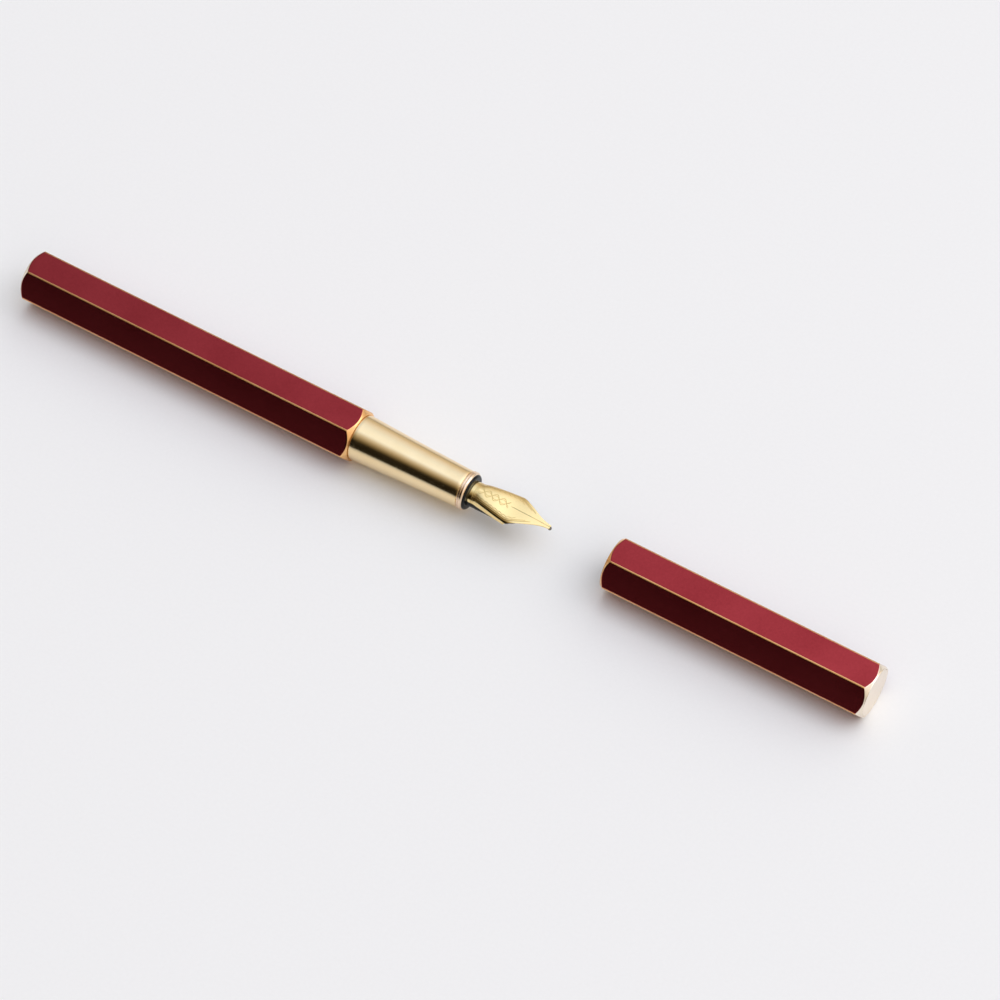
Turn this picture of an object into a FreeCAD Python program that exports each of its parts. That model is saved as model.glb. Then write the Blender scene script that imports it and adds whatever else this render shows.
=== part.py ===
"""Hexagonal fountain pen, lying open with its cap drawn off in front of the nib.

Frame: +X runs from the barrel's closed end through the nib to the cap, +Z is up. The origin is
the middle of the whole length, on the surface that the pen and the cap lie on. Millimetres.
"""
import FreeCAD, Part
import math
import os

from FreeCAD import Vector

# ---- Stock and ends ---------------------------------------------------------------------------
across_flats = 11.0          # hexagonal brass tube, flat to flat
arris_bevel = 0.35           # width of the bare bevel along each long edge
corner_chamfer = 1.0         # turned 45 degree chamfer on both ends of barrel and cap
mouth_land = 0.1             # short turned land in front of the chamfer at an open end
closed_land = 0.3            # the same at a closed end
cap_flat_wall = 0.4          # brass left between the cap's bore and a flat
barrel_flat_wall = 0.75
end_plug_thickness = 1.6

# ---- Lengths along the pen --------------------------------------------------------------------
barrel_length = 81.2         # closed end face to front rim
grip_length = 26.4           # barrel rim to the face of the front ring
nib_reach = 18.6             # front ring face to the writing tip
cap_standoff = 14.6          # writing tip to the mouth of the cap that is off
cap_length = 58.8            # mouth rim to closed end face

# ---- Clearances -------------------------------------------------------------------------------
seam_gap = 0.05              # hairline between two faces that meet when the pen is screwed up
seat_gap = 0.02              # pressed or cemented pieces of one body
running_gap = 0.05           # radial, screws and plug fits that part
slip_gap = 0.1               # radial, what only passes through; also between the closed rims
spare = 20.0                 # half size of cutting blocks, larger than any radius

# ---- Grip section -----------------------------------------------------------------------------
grip_taper = 0.95            # radius lost from the barrel to the groove
grip_middle_drop = 0.07      # how far the long side dips below a straight taper
grip_edge_break = 0.15
front_ring_step = 0.15       # ring radius over the grip's smallest
front_ring_edge = 0.12
front_ring_length = 1.1
front_groove_width = 0.2
front_groove_depth = 0.2
front_line_back = 0.33       # fine line round the ring, in front of the groove
front_line_width = 0.1
front_line_depth = 0.12
grip_rear_bore_depth = 12.2

# ---- Barrel inside and the tenon that screws into it ------------------------------------------
bush_wall = 0.5
bush_length = 10.0
tenon_length = 11.0
tenon_step = 0.2             # tenon radius lost inside the grip
o_ring_wire_radius = 0.4
o_ring_setback = 0.9         # middle of the ring behind the barrel rim
o_ring_groove_depth = 0.35

# ---- Nib, feed and their housing --------------------------------------------------------------
nib_root_radius = 2.65
nib_sheet = 0.3
nib_root_length = 1.6        # plain half round in front of the collar, before the flare
nib_shoulder_half_width = 3.76
nib_shoulder_back = 8.8      # widest point behind the writing tip
nib_point_half_width = 0.42
nib_point_height = 1.6       # top of the sheet above the axis at the writing end
nib_slit_length = 9.1
nib_slit_width = 0.08
nib_edge_height = 0.4        # lower edge of the rolled sheet above the pen's axis
nib_tail = 9.0               # rolled root inside the housing
nib_tip_radius = 0.42
collar_step = 0.35           # collar radius under the front ring's
collar_reach = 0.45          # how far the collar stands out of the front ring
collar_dome = 0.5            # radius of the collar's rounded front edge
housing_wall = 0.55
housing_length = 12.8        # from the front ring face back to the nipple's root
nipple_length = 7.0
nipple_radius = 1.35
nipple_bore_radius = 0.6
feed_fin_stand = 0.1         # fins stand out past the rolled root
feed_fin_depth = 0.85
feed_fin_pitch = 0.7
feed_fin_gap = 0.32
feed_fin_count = 8
feed_first_fin = 0.8
feed_full_depth = 5.3        # stretch in front of the collar before the underside sweeps up
feed_top_relief = 0.2        # step down on top where the nib begins to open out
feed_beak_half_width = 0.7
feed_beak_height = 1.05
feed_beak_depth = 0.5
feed_end_back = 4.6          # front of the feed behind the writing tip
feed_tail = 10.4
feed_channel_width = 0.3
feed_channel_depth = 0.6

# ---- Converter --------------------------------------------------------------------------------
converter_neck_length = 9.8
converter_neck_radius = 3.1
converter_tube_radius = 3.5
converter_tube_length = 32.0
converter_tube_wall = 0.6
piston_stroke = 20.0
piston_seal_length = 5.0
rod_radius = 1.2
rod_flat = 0.96              # half the width over the rod's two flats
sleeve_wall = 0.23
sleeve_length = 12.0
sleeve_overlap = 4.0
nut_length = 4.0
knob_undercut = 0.2          # knob radius under the chamber's
knob_length = 23.5
knob_spigot_length = 3.6
knob_flutes = 12
knob_flute_radius = 0.45
knob_end_wall = 2.0

# ---- Inner cap --------------------------------------------------------------------------------
liner_gap = 0.08             # radial, over the widest thing that goes in
liner_mouth_back = 1.3       # liner mouth behind the front ring when the cap is on
liner_throat_length = 2.0
liner_throat_depth = 0.15
liner_floor = 1.0

# ---- Radii that follow ------------------------------------------------------------------------
axis_height = across_flats / 2
corner_radius = across_flats / math.sqrt(3)
rim_radius = corner_radius - corner_chamfer
cap_bore_radius = across_flats / 2 - cap_flat_wall
barrel_bore_radius = across_flats / 2 - barrel_flat_wall
tenon_radius = barrel_bore_radius - bush_wall - running_gap
tenon_front_radius = tenon_radius - tenon_step
grip_rear_radius = cap_bore_radius - slip_gap
grip_waist_radius = grip_rear_radius - grip_taper
front_ring_radius = grip_waist_radius + front_ring_step
collar_radius = front_ring_radius - collar_step
housing_radius = nib_root_radius + housing_wall
feed_fin_radius = nib_root_radius + feed_fin_stand
feed_core_radius = feed_fin_radius - feed_fin_depth
chamber_radius = converter_tube_radius - converter_tube_wall
sleeve_radius = converter_tube_radius + seat_gap + sleeve_wall
knob_radius = converter_tube_radius - knob_undercut
shoulder_reach = math.hypot(nib_shoulder_half_width, nib_edge_height)
liner_bore_radius = max(front_ring_radius, shoulder_reach) + liner_gap
liner_throat_radius = liner_bore_radius - liner_throat_depth

# ---- Stations that follow ---------------------------------------------------------------------
pen_length = barrel_length + grip_length + nib_reach
overall_length = pen_length + cap_standoff + cap_length

x_barrel_end = -overall_length / 2
x_barrel_rim = x_barrel_end + barrel_length
x_ring_face = x_barrel_rim + grip_length
x_ring_back = x_ring_face - front_ring_length
x_collar_face = x_ring_face + collar_reach
x_tip = x_ring_face + nib_reach
x_cap_mouth = x_tip + cap_standoff
x_cap_end = x_cap_mouth + cap_length
cap_travel = x_cap_mouth - x_barrel_rim - slip_gap

x_nib_root = x_collar_face + nib_root_length
x_shoulder = x_tip - nib_shoulder_back
x_feed_tail = x_collar_face - feed_tail
x_feed_end = x_tip - feed_end_back
x_last_fin = x_collar_face + feed_first_fin + feed_fin_count * feed_fin_pitch

x_housing_rear = x_ring_face - housing_length
x_nipple_end = x_housing_rear - nipple_length
x_converter_mouth = x_housing_rear - seam_gap
x_tube_shoulder = x_converter_mouth - converter_neck_length
x_chamber_front = x_tube_shoulder - 0.5
x_tube_rear = x_tube_shoulder - converter_tube_length
x_seal_front = x_chamber_front - 0.6
x_seal_rear = x_seal_front - piston_seal_length
x_sleeve_front = x_tube_rear + sleeve_overlap
x_sleeve_rear = x_sleeve_front - sleeve_length
x_nut_front = x_tube_rear - seat_gap
x_nut_rear = x_nut_front - nut_length
x_knob_front = x_sleeve_rear - 0.3
x_knob_end = x_knob_front - knob_length
x_knob_floor = x_knob_end + knob_end_wall
x_rod_end = x_knob_floor + piston_stroke + 0.7


def at_axis(shape):
    """Lift a shape built round the X axis to the height of the pen's axis."""
    shape.translate(Vector(0, 0, axis_height))
    return shape


def turned(points):
    """Solid turned round the pen's axis from a closed profile of (x, radius) points."""
    corners = [Vector(x, 0, r) for x, r in points]
    face = Part.Face(Part.makePolygon(corners + [corners[0]]))
    return at_axis(face.revolve(Vector(0, 0, 0), Vector(1, 0, 0), 360))


def arc_points(centre_x, centre_r, radius, from_deg, to_deg, steps):
    """Points (x, radius from the axis) along an arc; 0 degrees looks along +X."""
    points = []
    for k in range(steps + 1):
        turn = math.radians(from_deg + (to_deg - from_deg) * k / steps)
        points.append((centre_x + radius * math.cos(turn), centre_r + radius * math.sin(turn)))
    return points


def rod(x_from, x_to, radius):
    """Plain round bar on the pen's axis."""
    return at_axis(Part.makeCylinder(radius, x_to - x_from, Vector(x_from, 0, 0), Vector(1, 0, 0)))


def tube(x_from, x_to, outer, inner):
    """Plain round tube on the pen's axis."""
    return turned([(x_from, inner), (x_to, inner), (x_to, outer), (x_from, outer)])


def box(x_from, x_to, y_from, y_to, z_from, z_to):
    """Block between two corners; heights are counted from the pen's axis."""
    corner = Vector(x_from, y_from, z_from)
    return at_axis(Part.makeBox(x_to - x_from, y_to - y_from, z_to - z_from, corner))


def hexagon_bar(x_from, x_to):
    """Hexagonal bar lying on a flat, each long edge taken off by a narrow bevel."""
    flat_normal_turn = math.pi / 6
    edge_cut = arris_bevel / 2 / math.cos(flat_normal_turn)
    side = across_flats / math.sqrt(3)
    corners = []
    for k in range(6):
        here = math.radians(60 * k)
        for towards in (-1, 1):
            other = here + towards * math.radians(60)
            share = edge_cut / side
            y = corner_radius * ((1 - share) * math.cos(here) + share * math.cos(other))
            z = corner_radius * ((1 - share) * math.sin(here) + share * math.sin(other))
            corners.append(Vector(x_from, y, z))
    face = Part.Face(Part.makePolygon(corners + [corners[0]]))
    return at_axis(face.extrude(Vector(x_to - x_from, 0, 0)))


def turned_ends(x_from, x_to, land_from, land_to):
    """Turned envelope that chamfers both ends of a hexagonal bar, like a nut's."""
    return turned([
        (x_from, 0),
        (x_from, rim_radius),
        (x_from + land_from, rim_radius),
        (x_from + land_from + corner_chamfer, corner_radius),
        (x_to - land_to - corner_chamfer, corner_radius),
        (x_to - land_to, rim_radius),
        (x_to, rim_radius),
        (x_to, 0),
    ])


def make_barrel_tube():
    """Hexagonal barrel, open in front, counterbored behind for its end plug."""
    body = hexagon_bar(x_barrel_end, x_barrel_rim)
    body = body.common(turned_ends(x_barrel_end, x_barrel_rim, closed_land, mouth_land))
    body = body.cut(rod(x_barrel_end, x_barrel_rim, barrel_bore_radius))
    return body.cut(rod(x_barrel_end, x_barrel_end + end_plug_thickness, cap_bore_radius))


def make_barrel_end_plug():
    """Disc that closes the barrel, flush with the end."""
    return rod(x_barrel_end, x_barrel_end + end_plug_thickness - seat_gap, cap_bore_radius - seat_gap)


def make_barrel_thread_bush():
    """Bush in the barrel's front that takes the grip's thread."""
    x_front = x_barrel_rim - o_ring_setback - o_ring_wire_radius - seam_gap
    return tube(x_front - bush_length, x_front, barrel_bore_radius - seat_gap,
                tenon_radius + running_gap)


def make_section_grip():
    """Turned brass grip: a long shallow concave taper that ends in a groove behind the front ring."""
    x_rear = x_barrel_rim + seam_gap
    x_groove = x_ring_back - front_groove_width
    x_groove_end = x_ring_back - seat_gap
    x_middle = (x_rear + x_groove) / 2
    middle_radius = (grip_rear_radius + grip_waist_radius) / 2 - grip_middle_drop
    x_step = x_barrel_rim + grip_rear_bore_depth
    bore = housing_radius + running_gap
    groove_radius = grip_waist_radius - front_groove_depth
    start = Vector(x_rear + grip_edge_break, 0, grip_rear_radius)
    middle = Vector(x_middle, 0, middle_radius)
    end = Vector(x_groove, 0, grip_waist_radius)
    side = Part.Arc(start, middle, end).toShape()
    outline = [
        (x_groove, grip_waist_radius),
        (x_groove, groove_radius),
        (x_groove_end, groove_radius),
        (x_groove_end, bore),
        (x_step, bore),
        (x_step, tenon_front_radius + seat_gap),
        (x_rear, tenon_front_radius + seat_gap),
        (x_rear, grip_rear_radius - grip_edge_break),
        (x_rear + grip_edge_break, grip_rear_radius),
    ]
    rest = Part.makePolygon([Vector(x, 0, r) for x, r in outline])
    face = Part.Face(Part.Wire([side] + rest.Edges))
    return at_axis(face.revolve(Vector(0, 0, 0), Vector(1, 0, 0), 360))


def make_section_front_ring():
    """Slightly wider brass ring that ends the grip and carries the collar, with a fine line round it."""
    edge = front_ring_edge
    bore = housing_radius + running_gap
    x_line = x_ring_back + front_line_back
    line_radius = front_ring_radius - front_line_depth
    return turned([
        (x_ring_back, bore),
        (x_ring_back, front_ring_radius - edge),
        (x_ring_back + edge, front_ring_radius),
        (x_line, front_ring_radius),
        (x_line, line_radius),
        (x_line + front_line_width, line_radius),
        (x_line + front_line_width, front_ring_radius),
        (x_ring_face - 2 * edge, front_ring_radius),
        (x_ring_face, front_ring_radius - 2 * edge),
        (x_ring_face, bore),
    ])


def make_section_tenon():
    """Plastic insert of the grip; its rear half is the screw that the barrel goes on."""
    lead = 0.3
    x_rear = x_barrel_rim - tenon_length
    x_front = x_barrel_rim + grip_rear_bore_depth - seat_gap
    x_ring = x_barrel_rim - o_ring_setback
    groove = tenon_radius - o_ring_groove_depth
    wide_bore = converter_tube_radius + slip_gap
    neck_bore = converter_neck_radius + slip_gap
    x_bore_step = x_tube_shoulder + 0.4
    return turned([
        (x_rear, wide_bore),
        (x_rear, tenon_radius - lead),
        (x_rear + lead, tenon_radius),
        (x_ring - o_ring_wire_radius, tenon_radius),
        (x_ring - o_ring_wire_radius, groove),
        (x_ring + o_ring_wire_radius, groove),
        (x_ring + o_ring_wire_radius, tenon_radius),
        (x_barrel_rim, tenon_radius),
        (x_barrel_rim, tenon_front_radius),
        (x_front, tenon_front_radius),
        (x_front, neck_bore),
        (x_bore_step, neck_bore),
        (x_bore_step, wide_bore),
    ])


def make_section_o_ring():
    """Rubber ring at the root of the screw that keeps the barrel tight, as a six sided wire."""
    middle = tenon_radius - o_ring_groove_depth + o_ring_wire_radius
    x_ring = x_barrel_rim - o_ring_setback
    return turned(arc_points(x_ring, middle, o_ring_wire_radius - seat_gap, 30, 330, 5))


def nib_stations():
    """Rolled form of the nib: (x, radius of the roll, height of its crown) from tail to point."""
    crown = nib_root_radius - 0.1
    fall = crown - nib_point_height
    sagitta = crown - nib_edge_height
    shoulder_roll = (nib_shoulder_half_width ** 2 + sagitta ** 2) / (2 * sagitta)
    flat_roll = shoulder_roll + 0.9
    return [
        (x_collar_face - nib_tail - 1, nib_root_radius, nib_root_radius),
        (x_nib_root, nib_root_radius, nib_root_radius),
        ((x_nib_root + x_shoulder) / 2, (nib_root_radius + shoulder_roll) / 2, crown + 0.07),
        (x_shoulder, shoulder_roll, crown),
        ((x_shoulder + x_tip) / 2, flat_roll, crown - fall * 0.45),
        (x_tip + 0.5, flat_roll, nib_point_height - fall * 0.05),
    ]


def nib_roll(inset):
    """Solid inside the nib's rolled surface, taken in by inset."""
    rings = []
    for x, radius, crown in nib_stations():
        circle = Part.Circle(Vector(x, 0, crown - radius), Vector(1, 0, 0), radius - inset)
        rings.append(Part.Wire(circle.toShape()))
    tail = Part.makeLoft(rings[:2], True, True)
    front = Part.makeLoft(rings[1:], True, False)
    return at_axis(tail.fuse(front).removeSplitter())


def nib_outline():
    """Plan of the nib at the height of the axis: flared sides, round shoulders, long hollow point."""
    wide = nib_shoulder_half_width
    point = nib_point_half_width
    run = nib_shoulder_back
    clear = wide + 2
    edge = [
        Vector(x_tip, point, 0),
        Vector(x_tip - 0.16 * run, point + 0.22, 0),
        Vector(x_tip - 0.34 * run, 0.32 * wide, 0),
        Vector(x_tip - 0.53 * run, 0.535 * wide, 0),
        Vector(x_tip - 0.76 * run, 0.79 * wide, 0),
        Vector(x_tip - 0.92 * run, 0.95 * wide, 0),
        Vector(x_shoulder, wide, 0),
    ]
    curves = []
    for side in (1, -1):
        curve = Part.BSplineCurve()
        curve.interpolate([Vector(p.x, side * p.y, 0) for p in edge])
        curves.append(curve.toShape())
    x_tail = x_collar_face - nib_tail
    back = Part.makePolygon([
        Vector(x_shoulder, wide, 0),
        Vector(x_shoulder - 0.3, clear, 0),
        Vector(x_tail, clear, 0),
        Vector(x_tail, -clear, 0),
        Vector(x_shoulder - 0.3, -clear, 0),
        Vector(x_shoulder, -wide, 0),
    ])
    front = Part.makePolygon([Vector(x_tip, -point, 0), Vector(x_tip, point, 0)])
    return Part.Face(Part.Wire([curves[0]] + back.Edges + [curves[1]] + front.Edges))


def make_nib():
    """Rolled sheet nib, half round at its root, flared to the shoulders, slit from the point."""
    sheet = nib_roll(0).cut(nib_roll(nib_sheet))
    blank = nib_outline().extrude(Vector(0, 0, spare))
    blank.translate(Vector(0, 0, axis_height + nib_edge_height))
    half_slit = nib_slit_width / 2
    slit = box(x_tip - nib_slit_length, x_tip + 1, -half_slit, half_slit, 0, spare)
    return sheet.common(blank).cut(slit)


def make_nib_tip():
    """Hard pellet welded under the point, slit like it from above."""
    underside = nib_point_height - nib_sheet
    centre = Vector(x_tip - 0.1, 0, underside - nib_tip_radius * 0.55)
    pellet = at_axis(Part.makeSphere(nib_tip_radius, centre))
    pellet = pellet.cut(nib_roll(0).cut(nib_roll(nib_sheet + seat_gap / 2)))
    half_slit = nib_slit_width / 2
    slit_floor = underside - nib_tip_radius * 0.2
    return pellet.cut(box(x_tip - 1, x_tip + 1, -half_slit, half_slit, slit_floor, spare))


def height_under_nib(x_station, core_radius):
    """Height of a flat on a round core whose two edges just clear the sheet at a nib station."""
    _, roll, crown = next(station for station in nib_stations() if station[0] == x_station)
    inner_roll = roll - nib_sheet
    top = crown - nib_sheet - seat_gap
    return inner_roll - math.sqrt(inner_roll ** 2 - 2 * inner_roll * top + core_radius ** 2)


def feed_side_profile():
    """Side view of the feed: its top follows the nib, its underside sweeps up to a thin beak."""
    low = -feed_fin_radius
    x_sweep = x_collar_face + feed_full_depth
    x_knee = x_sweep + 0.5 * (x_feed_end - x_sweep)
    inside = nib_root_radius - nib_sheet - seat_gap
    beak_top = feed_beak_height + feed_beak_depth
    start = Vector(x_sweep, 0, low)
    end = Vector(x_feed_end, 0, feed_beak_height)
    sweep = Part.Arc(start, Vector(x_knee, 0, low * 0.5), end).toShape()
    rest = Part.makePolygon([
        end,
        Vector(x_feed_end, 0, beak_top),
        Vector(x_shoulder, 0, height_under_nib(x_shoulder, inside)),
        Vector(x_nib_root, 0, inside - feed_top_relief),
        Vector(x_nib_root, 0, inside),
        Vector(x_feed_tail, 0, inside),
        Vector(x_feed_tail, 0, low),
        start,
    ])
    return Part.Face(Part.Wire([sweep] + rest.Edges))


def feed_plan_profile():
    """Plan of the feed: parallel sides that draw in to the beak."""
    half = feed_fin_radius
    beak = feed_beak_half_width
    points = [(x_feed_tail, half), (x_last_fin, half), (x_feed_end - 1.2, beak + 0.5), (x_feed_end, beak)]
    corners = [Vector(x, y, 0) for x, y in points]
    corners += [Vector(x, -y, 0) for x, y in reversed(points)]
    return Part.Face(Part.makePolygon(corners + [corners[0]]))


def make_feed():
    """Black feed under the nib: comb of fins below, ink channel on top, beak behind the point."""
    side = feed_side_profile().extrude(Vector(0, 2 * spare, 0))
    side.translate(Vector(0, -spare, 0))
    plan = feed_plan_profile().extrude(Vector(0, 0, 2 * spare))
    plan.translate(Vector(0, 0, -spare))
    x_step = x_collar_face + 0.1
    ledge = nib_edge_height - seat_gap
    core = rod(x_feed_tail, x_feed_end, nib_root_radius - nib_sheet - seat_gap)
    tail = rod(x_feed_tail, x_step, nib_root_radius - seat_gap)
    comb = rod(x_step, x_feed_end, feed_fin_radius)
    lower = box(x_feed_tail, x_feed_end, -spare, spare, -spare, ledge)
    body = tail.fuse(comb).common(lower).fuse(core).removeSplitter()
    body = body.common(at_axis(side)).common(at_axis(plan))
    for k in range(feed_fin_count):
        x = x_collar_face + feed_first_fin + k * feed_fin_pitch
        gap = tube(x, x + feed_fin_gap, feed_fin_radius + 1, feed_core_radius)
        body = body.cut(gap.common(box(x, x + feed_fin_gap, -spare, spare, -spare, -0.35)))
    half = feed_channel_width / 2
    channel_floor = nib_root_radius - nib_sheet - feed_channel_depth
    return body.cut(box(x_feed_tail, x_feed_end - 1.5, -half, half, channel_floor, spare))


def make_nib_housing():
    """Black collar that holds nib and feed, screwed into the grip, with the converter's nipple."""
    pocket = x_feed_tail - 0.1
    bore = nib_root_radius + seat_gap
    x_flange = x_ring_face + seat_gap
    dome = arc_points(x_collar_face - collar_dome, collar_radius - collar_dome, collar_dome, 90, 0, 4)
    return turned([
        (x_nipple_end, nipple_bore_radius),
        (x_nipple_end, nipple_radius - 0.2),
        (x_nipple_end + 0.4, nipple_radius),
        (x_housing_rear, nipple_radius),
        (x_housing_rear, housing_radius),
        (x_flange, housing_radius),
        (x_flange, collar_radius),
        *dome,
        (x_collar_face, bore),
        (pocket, bore),
        (pocket, nipple_bore_radius),
    ])


def make_converter_tube():
    """Clear ink chamber with the neck that pushes on the nipple."""
    edge = 0.3
    mouth = nipple_radius + running_gap
    return turned([
        (x_tube_rear, chamber_radius),
        (x_tube_rear, converter_tube_radius),
        (x_tube_shoulder - edge, converter_tube_radius),
        (x_tube_shoulder, converter_neck_radius),
        (x_converter_mouth - edge, converter_neck_radius),
        (x_converter_mouth, converter_neck_radius - edge),
        (x_converter_mouth, mouth),
        (x_chamber_front, mouth),
        (x_chamber_front - 0.4, chamber_radius),
    ])


def make_converter_sleeve():
    """Plated metal sleeve round the rear of the chamber."""
    return tube(x_sleeve_rear, x_sleeve_front, sleeve_radius, converter_tube_radius + seat_gap)


def rod_section(x_from, x_to, grow):
    """Bar with the rod's cross-section, round with two flats, made larger all round by grow."""
    bar = rod(x_from, x_to, rod_radius + grow)
    flat = rod_flat + grow
    return bar.common(box(x_from, x_to, -spare, spare, -flat, flat))


def make_converter_nut():
    """Guide inside the sleeve whose flatted hole keeps the rod from turning."""
    nut = rod(x_nut_rear, x_nut_front, converter_tube_radius)
    return nut.cut(rod_section(x_nut_rear, x_nut_front, running_gap))


def make_piston_seal():
    """Soft piston with two sealing lips."""
    lip = chamber_radius - 0.03
    waist = lip - 0.45
    return turned([
        (x_seal_rear, 0),
        (x_seal_rear, lip),
        (x_seal_rear + 1.4, waist),
        (x_seal_front - 1.4, waist),
        (x_seal_front, lip),
        (x_seal_front, 0),
    ])


def make_piston_rod():
    """Screwed rod of the piston, with the two flats that run in the guide."""
    return rod_section(x_rod_end, x_seal_rear, 0)


def make_converter_knob():
    """Fluted twist knob, hollow to take the rod as it winds back."""
    edge = 0.5
    spigot = converter_tube_radius - running_gap
    bore = rod_radius + running_gap
    x_spigot = x_knob_front + knob_spigot_length
    knob = turned([
        (x_knob_end, 0),
        (x_knob_end, knob_radius - edge),
        (x_knob_end + edge, knob_radius),
        (x_knob_front, knob_radius),
        (x_knob_front, spigot),
        (x_spigot, spigot),
        (x_spigot, bore),
        (x_knob_floor, bore),
        (x_knob_floor, 0),
    ])
    centre = knob_radius + knob_flute_radius * 0.45
    for k in range(knob_flutes):
        turn = 2 * math.pi * k / knob_flutes
        start = Vector(x_knob_end - 1, centre * math.cos(turn), centre * math.sin(turn))
        flute = Part.makeCylinder(knob_flute_radius, knob_length - 1, start, Vector(1, 0, 0))
        knob = knob.cut(at_axis(flute))
    return knob


def make_cap_tube():
    """Hexagonal cap, bored right through; the end plug closes it."""
    body = hexagon_bar(x_cap_mouth, x_cap_end)
    body = body.common(turned_ends(x_cap_mouth, x_cap_end, mouth_land, closed_land))
    return body.cut(rod(x_cap_mouth, x_cap_end, cap_bore_radius))


def make_cap_end_plug():
    """Disc that closes the cap, flush with the end."""
    return rod(x_cap_end - end_plug_thickness + seat_gap, x_cap_end, cap_bore_radius - seat_gap)


def make_cap_liner():
    """Inner cap of black plastic; its mouth snaps over the front ring and keeps the nib moist."""
    outer = cap_bore_radius - seat_gap
    lead = 0.3
    x_mouth = x_ring_back - liner_mouth_back + cap_travel
    x_throat = x_ring_face + cap_travel + slip_gap
    x_throat_end = x_throat + liner_throat_length
    x_back = x_cap_end - end_plug_thickness
    x_floor = x_back - liner_floor
    return turned([
        (x_mouth, liner_bore_radius + lead),
        (x_mouth, outer),
        (x_back, outer),
        (x_back, 0),
        (x_floor, 0),
        (x_floor, liner_bore_radius),
        (x_throat_end, liner_bore_radius),
        (x_throat_end, liner_throat_radius),
        (x_throat, liner_throat_radius),
        (x_throat, liner_bore_radius),
        (x_mouth + lead, liner_bore_radius),
    ])


MAKERS = {
    "barrel_tube": make_barrel_tube,
    "barrel_end_plug": make_barrel_end_plug,
    "barrel_thread_bush": make_barrel_thread_bush,
    "section_grip": make_section_grip,
    "section_front_ring": make_section_front_ring,
    "section_tenon": make_section_tenon,
    "section_o_ring": make_section_o_ring,
    "nib_housing": make_nib_housing,
    "nib": make_nib,
    "nib_tip": make_nib_tip,
    "feed": make_feed,
    "converter_tube": make_converter_tube,
    "converter_sleeve": make_converter_sleeve,
    "converter_nut": make_converter_nut,
    "piston_seal": make_piston_seal,
    "piston_rod": make_piston_rod,
    "converter_knob": make_converter_knob,
    "cap_tube": make_cap_tube,
    "cap_end_plug": make_cap_end_plug,
    "cap_liner": make_cap_liner,
}

os.makedirs("parts", exist_ok=True)
for node, make in MAKERS.items():
    shape = make()
    solids = shape.Solids
    if len(solids) == 1:
        shape = solids[0]
    print(f"{node}: {len(solids)} solid, {shape.Volume:.1f} mm3, valid {shape.isValid()}")
    shape.exportStep(f"parts/{node}.step")
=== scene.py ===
"""Looks of a hexagonal brass fountain pen that lies open, its cap drawn off in front of the nib.

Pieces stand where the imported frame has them. Sizes in the classes are millimetres, x runs from
the barrel's closed end to the cap's, and radii are counted from the pen's own axis.
"""
import logging
import math
from dataclasses import dataclass, field, fields
from enum import Enum
from typing import Callable, Sequence

import bmesh
import bpy
from mathutils import Matrix, Vector, noise


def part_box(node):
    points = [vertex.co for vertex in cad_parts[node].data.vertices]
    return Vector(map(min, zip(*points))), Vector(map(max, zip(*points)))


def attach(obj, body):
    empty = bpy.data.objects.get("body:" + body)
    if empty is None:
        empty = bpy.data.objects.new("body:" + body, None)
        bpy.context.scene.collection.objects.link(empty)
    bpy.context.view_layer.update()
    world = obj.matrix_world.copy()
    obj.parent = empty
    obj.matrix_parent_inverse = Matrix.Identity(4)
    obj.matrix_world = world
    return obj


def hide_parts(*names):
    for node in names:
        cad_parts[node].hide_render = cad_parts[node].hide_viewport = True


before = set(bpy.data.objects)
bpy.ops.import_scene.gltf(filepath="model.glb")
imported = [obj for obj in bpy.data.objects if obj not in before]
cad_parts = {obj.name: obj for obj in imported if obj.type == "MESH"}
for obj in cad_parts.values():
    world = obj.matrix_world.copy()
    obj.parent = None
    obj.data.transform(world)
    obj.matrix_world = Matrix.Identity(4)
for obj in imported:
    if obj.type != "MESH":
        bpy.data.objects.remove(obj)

LOG = logging.getLogger("pen")
MM = 0.001
AXIS = 5.5                  # height of the pen's axis over what it lies on
TINY = 1e-6                 # a radius or a step below this counts as none
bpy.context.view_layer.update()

Point = tuple[float, float, float]
Profile = list[tuple[float, float]]
Ring = list[Point]
Tree = bpy.types.NodeTree
Node = bpy.types.Node
Socket = bpy.types.NodeSocket
Input = float | tuple | Node | Socket | bpy.types.Material


# ---- Colours and nodes ------------------------------------------------------------------------
def linear(hex_colour: str) -> tuple[float, float, float, float]:
    """Turn an sRGB hex colour, a hash and six digits, to linear values and an alpha of one."""
    channels = [int(hex_colour[k:k + 2], 16) / 255 for k in (1, 3, 5)]
    return tuple(c / 12.92 if c <= 0.04045 else ((c + 0.055) / 1.055) ** 2.4 for c in channels) + (1.0,)


def add_node(tree: Tree, kind: str, *values: Input | dict[str | int, Input], **settings: object) -> Node:
    """Add a node, set its properties, and fill or link its inputs.

    Args:
        tree: the shader or geometry tree that gets the node.
        kind: the node's type name, which may leave out ShaderNode in front, and its operation, if any.
        values: for its inputs in order a value, a socket to link from, or a node for its first output;
            a dictionary gives them by the input's name or number.
        settings: other properties of the node itself.

    Returns:
        The new node.
    """
    kind, _, operation = kind.partition(" ")
    node = tree.nodes.new(kind if "Node" in kind else "ShaderNode" + kind)
    if operation:
        node.operation = operation
    for name, value in settings.items():
        setattr(node, name, value)
    for number, given in enumerate(values):
        for key, value in (given if isinstance(given, dict) else {number: given}).items():
            source = value.outputs[0] if isinstance(value, Node) else value
            if isinstance(source, Socket):
                tree.links.new(source, node.inputs[key])
            else:
                node.inputs[key].default_value = source
    return node


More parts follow.
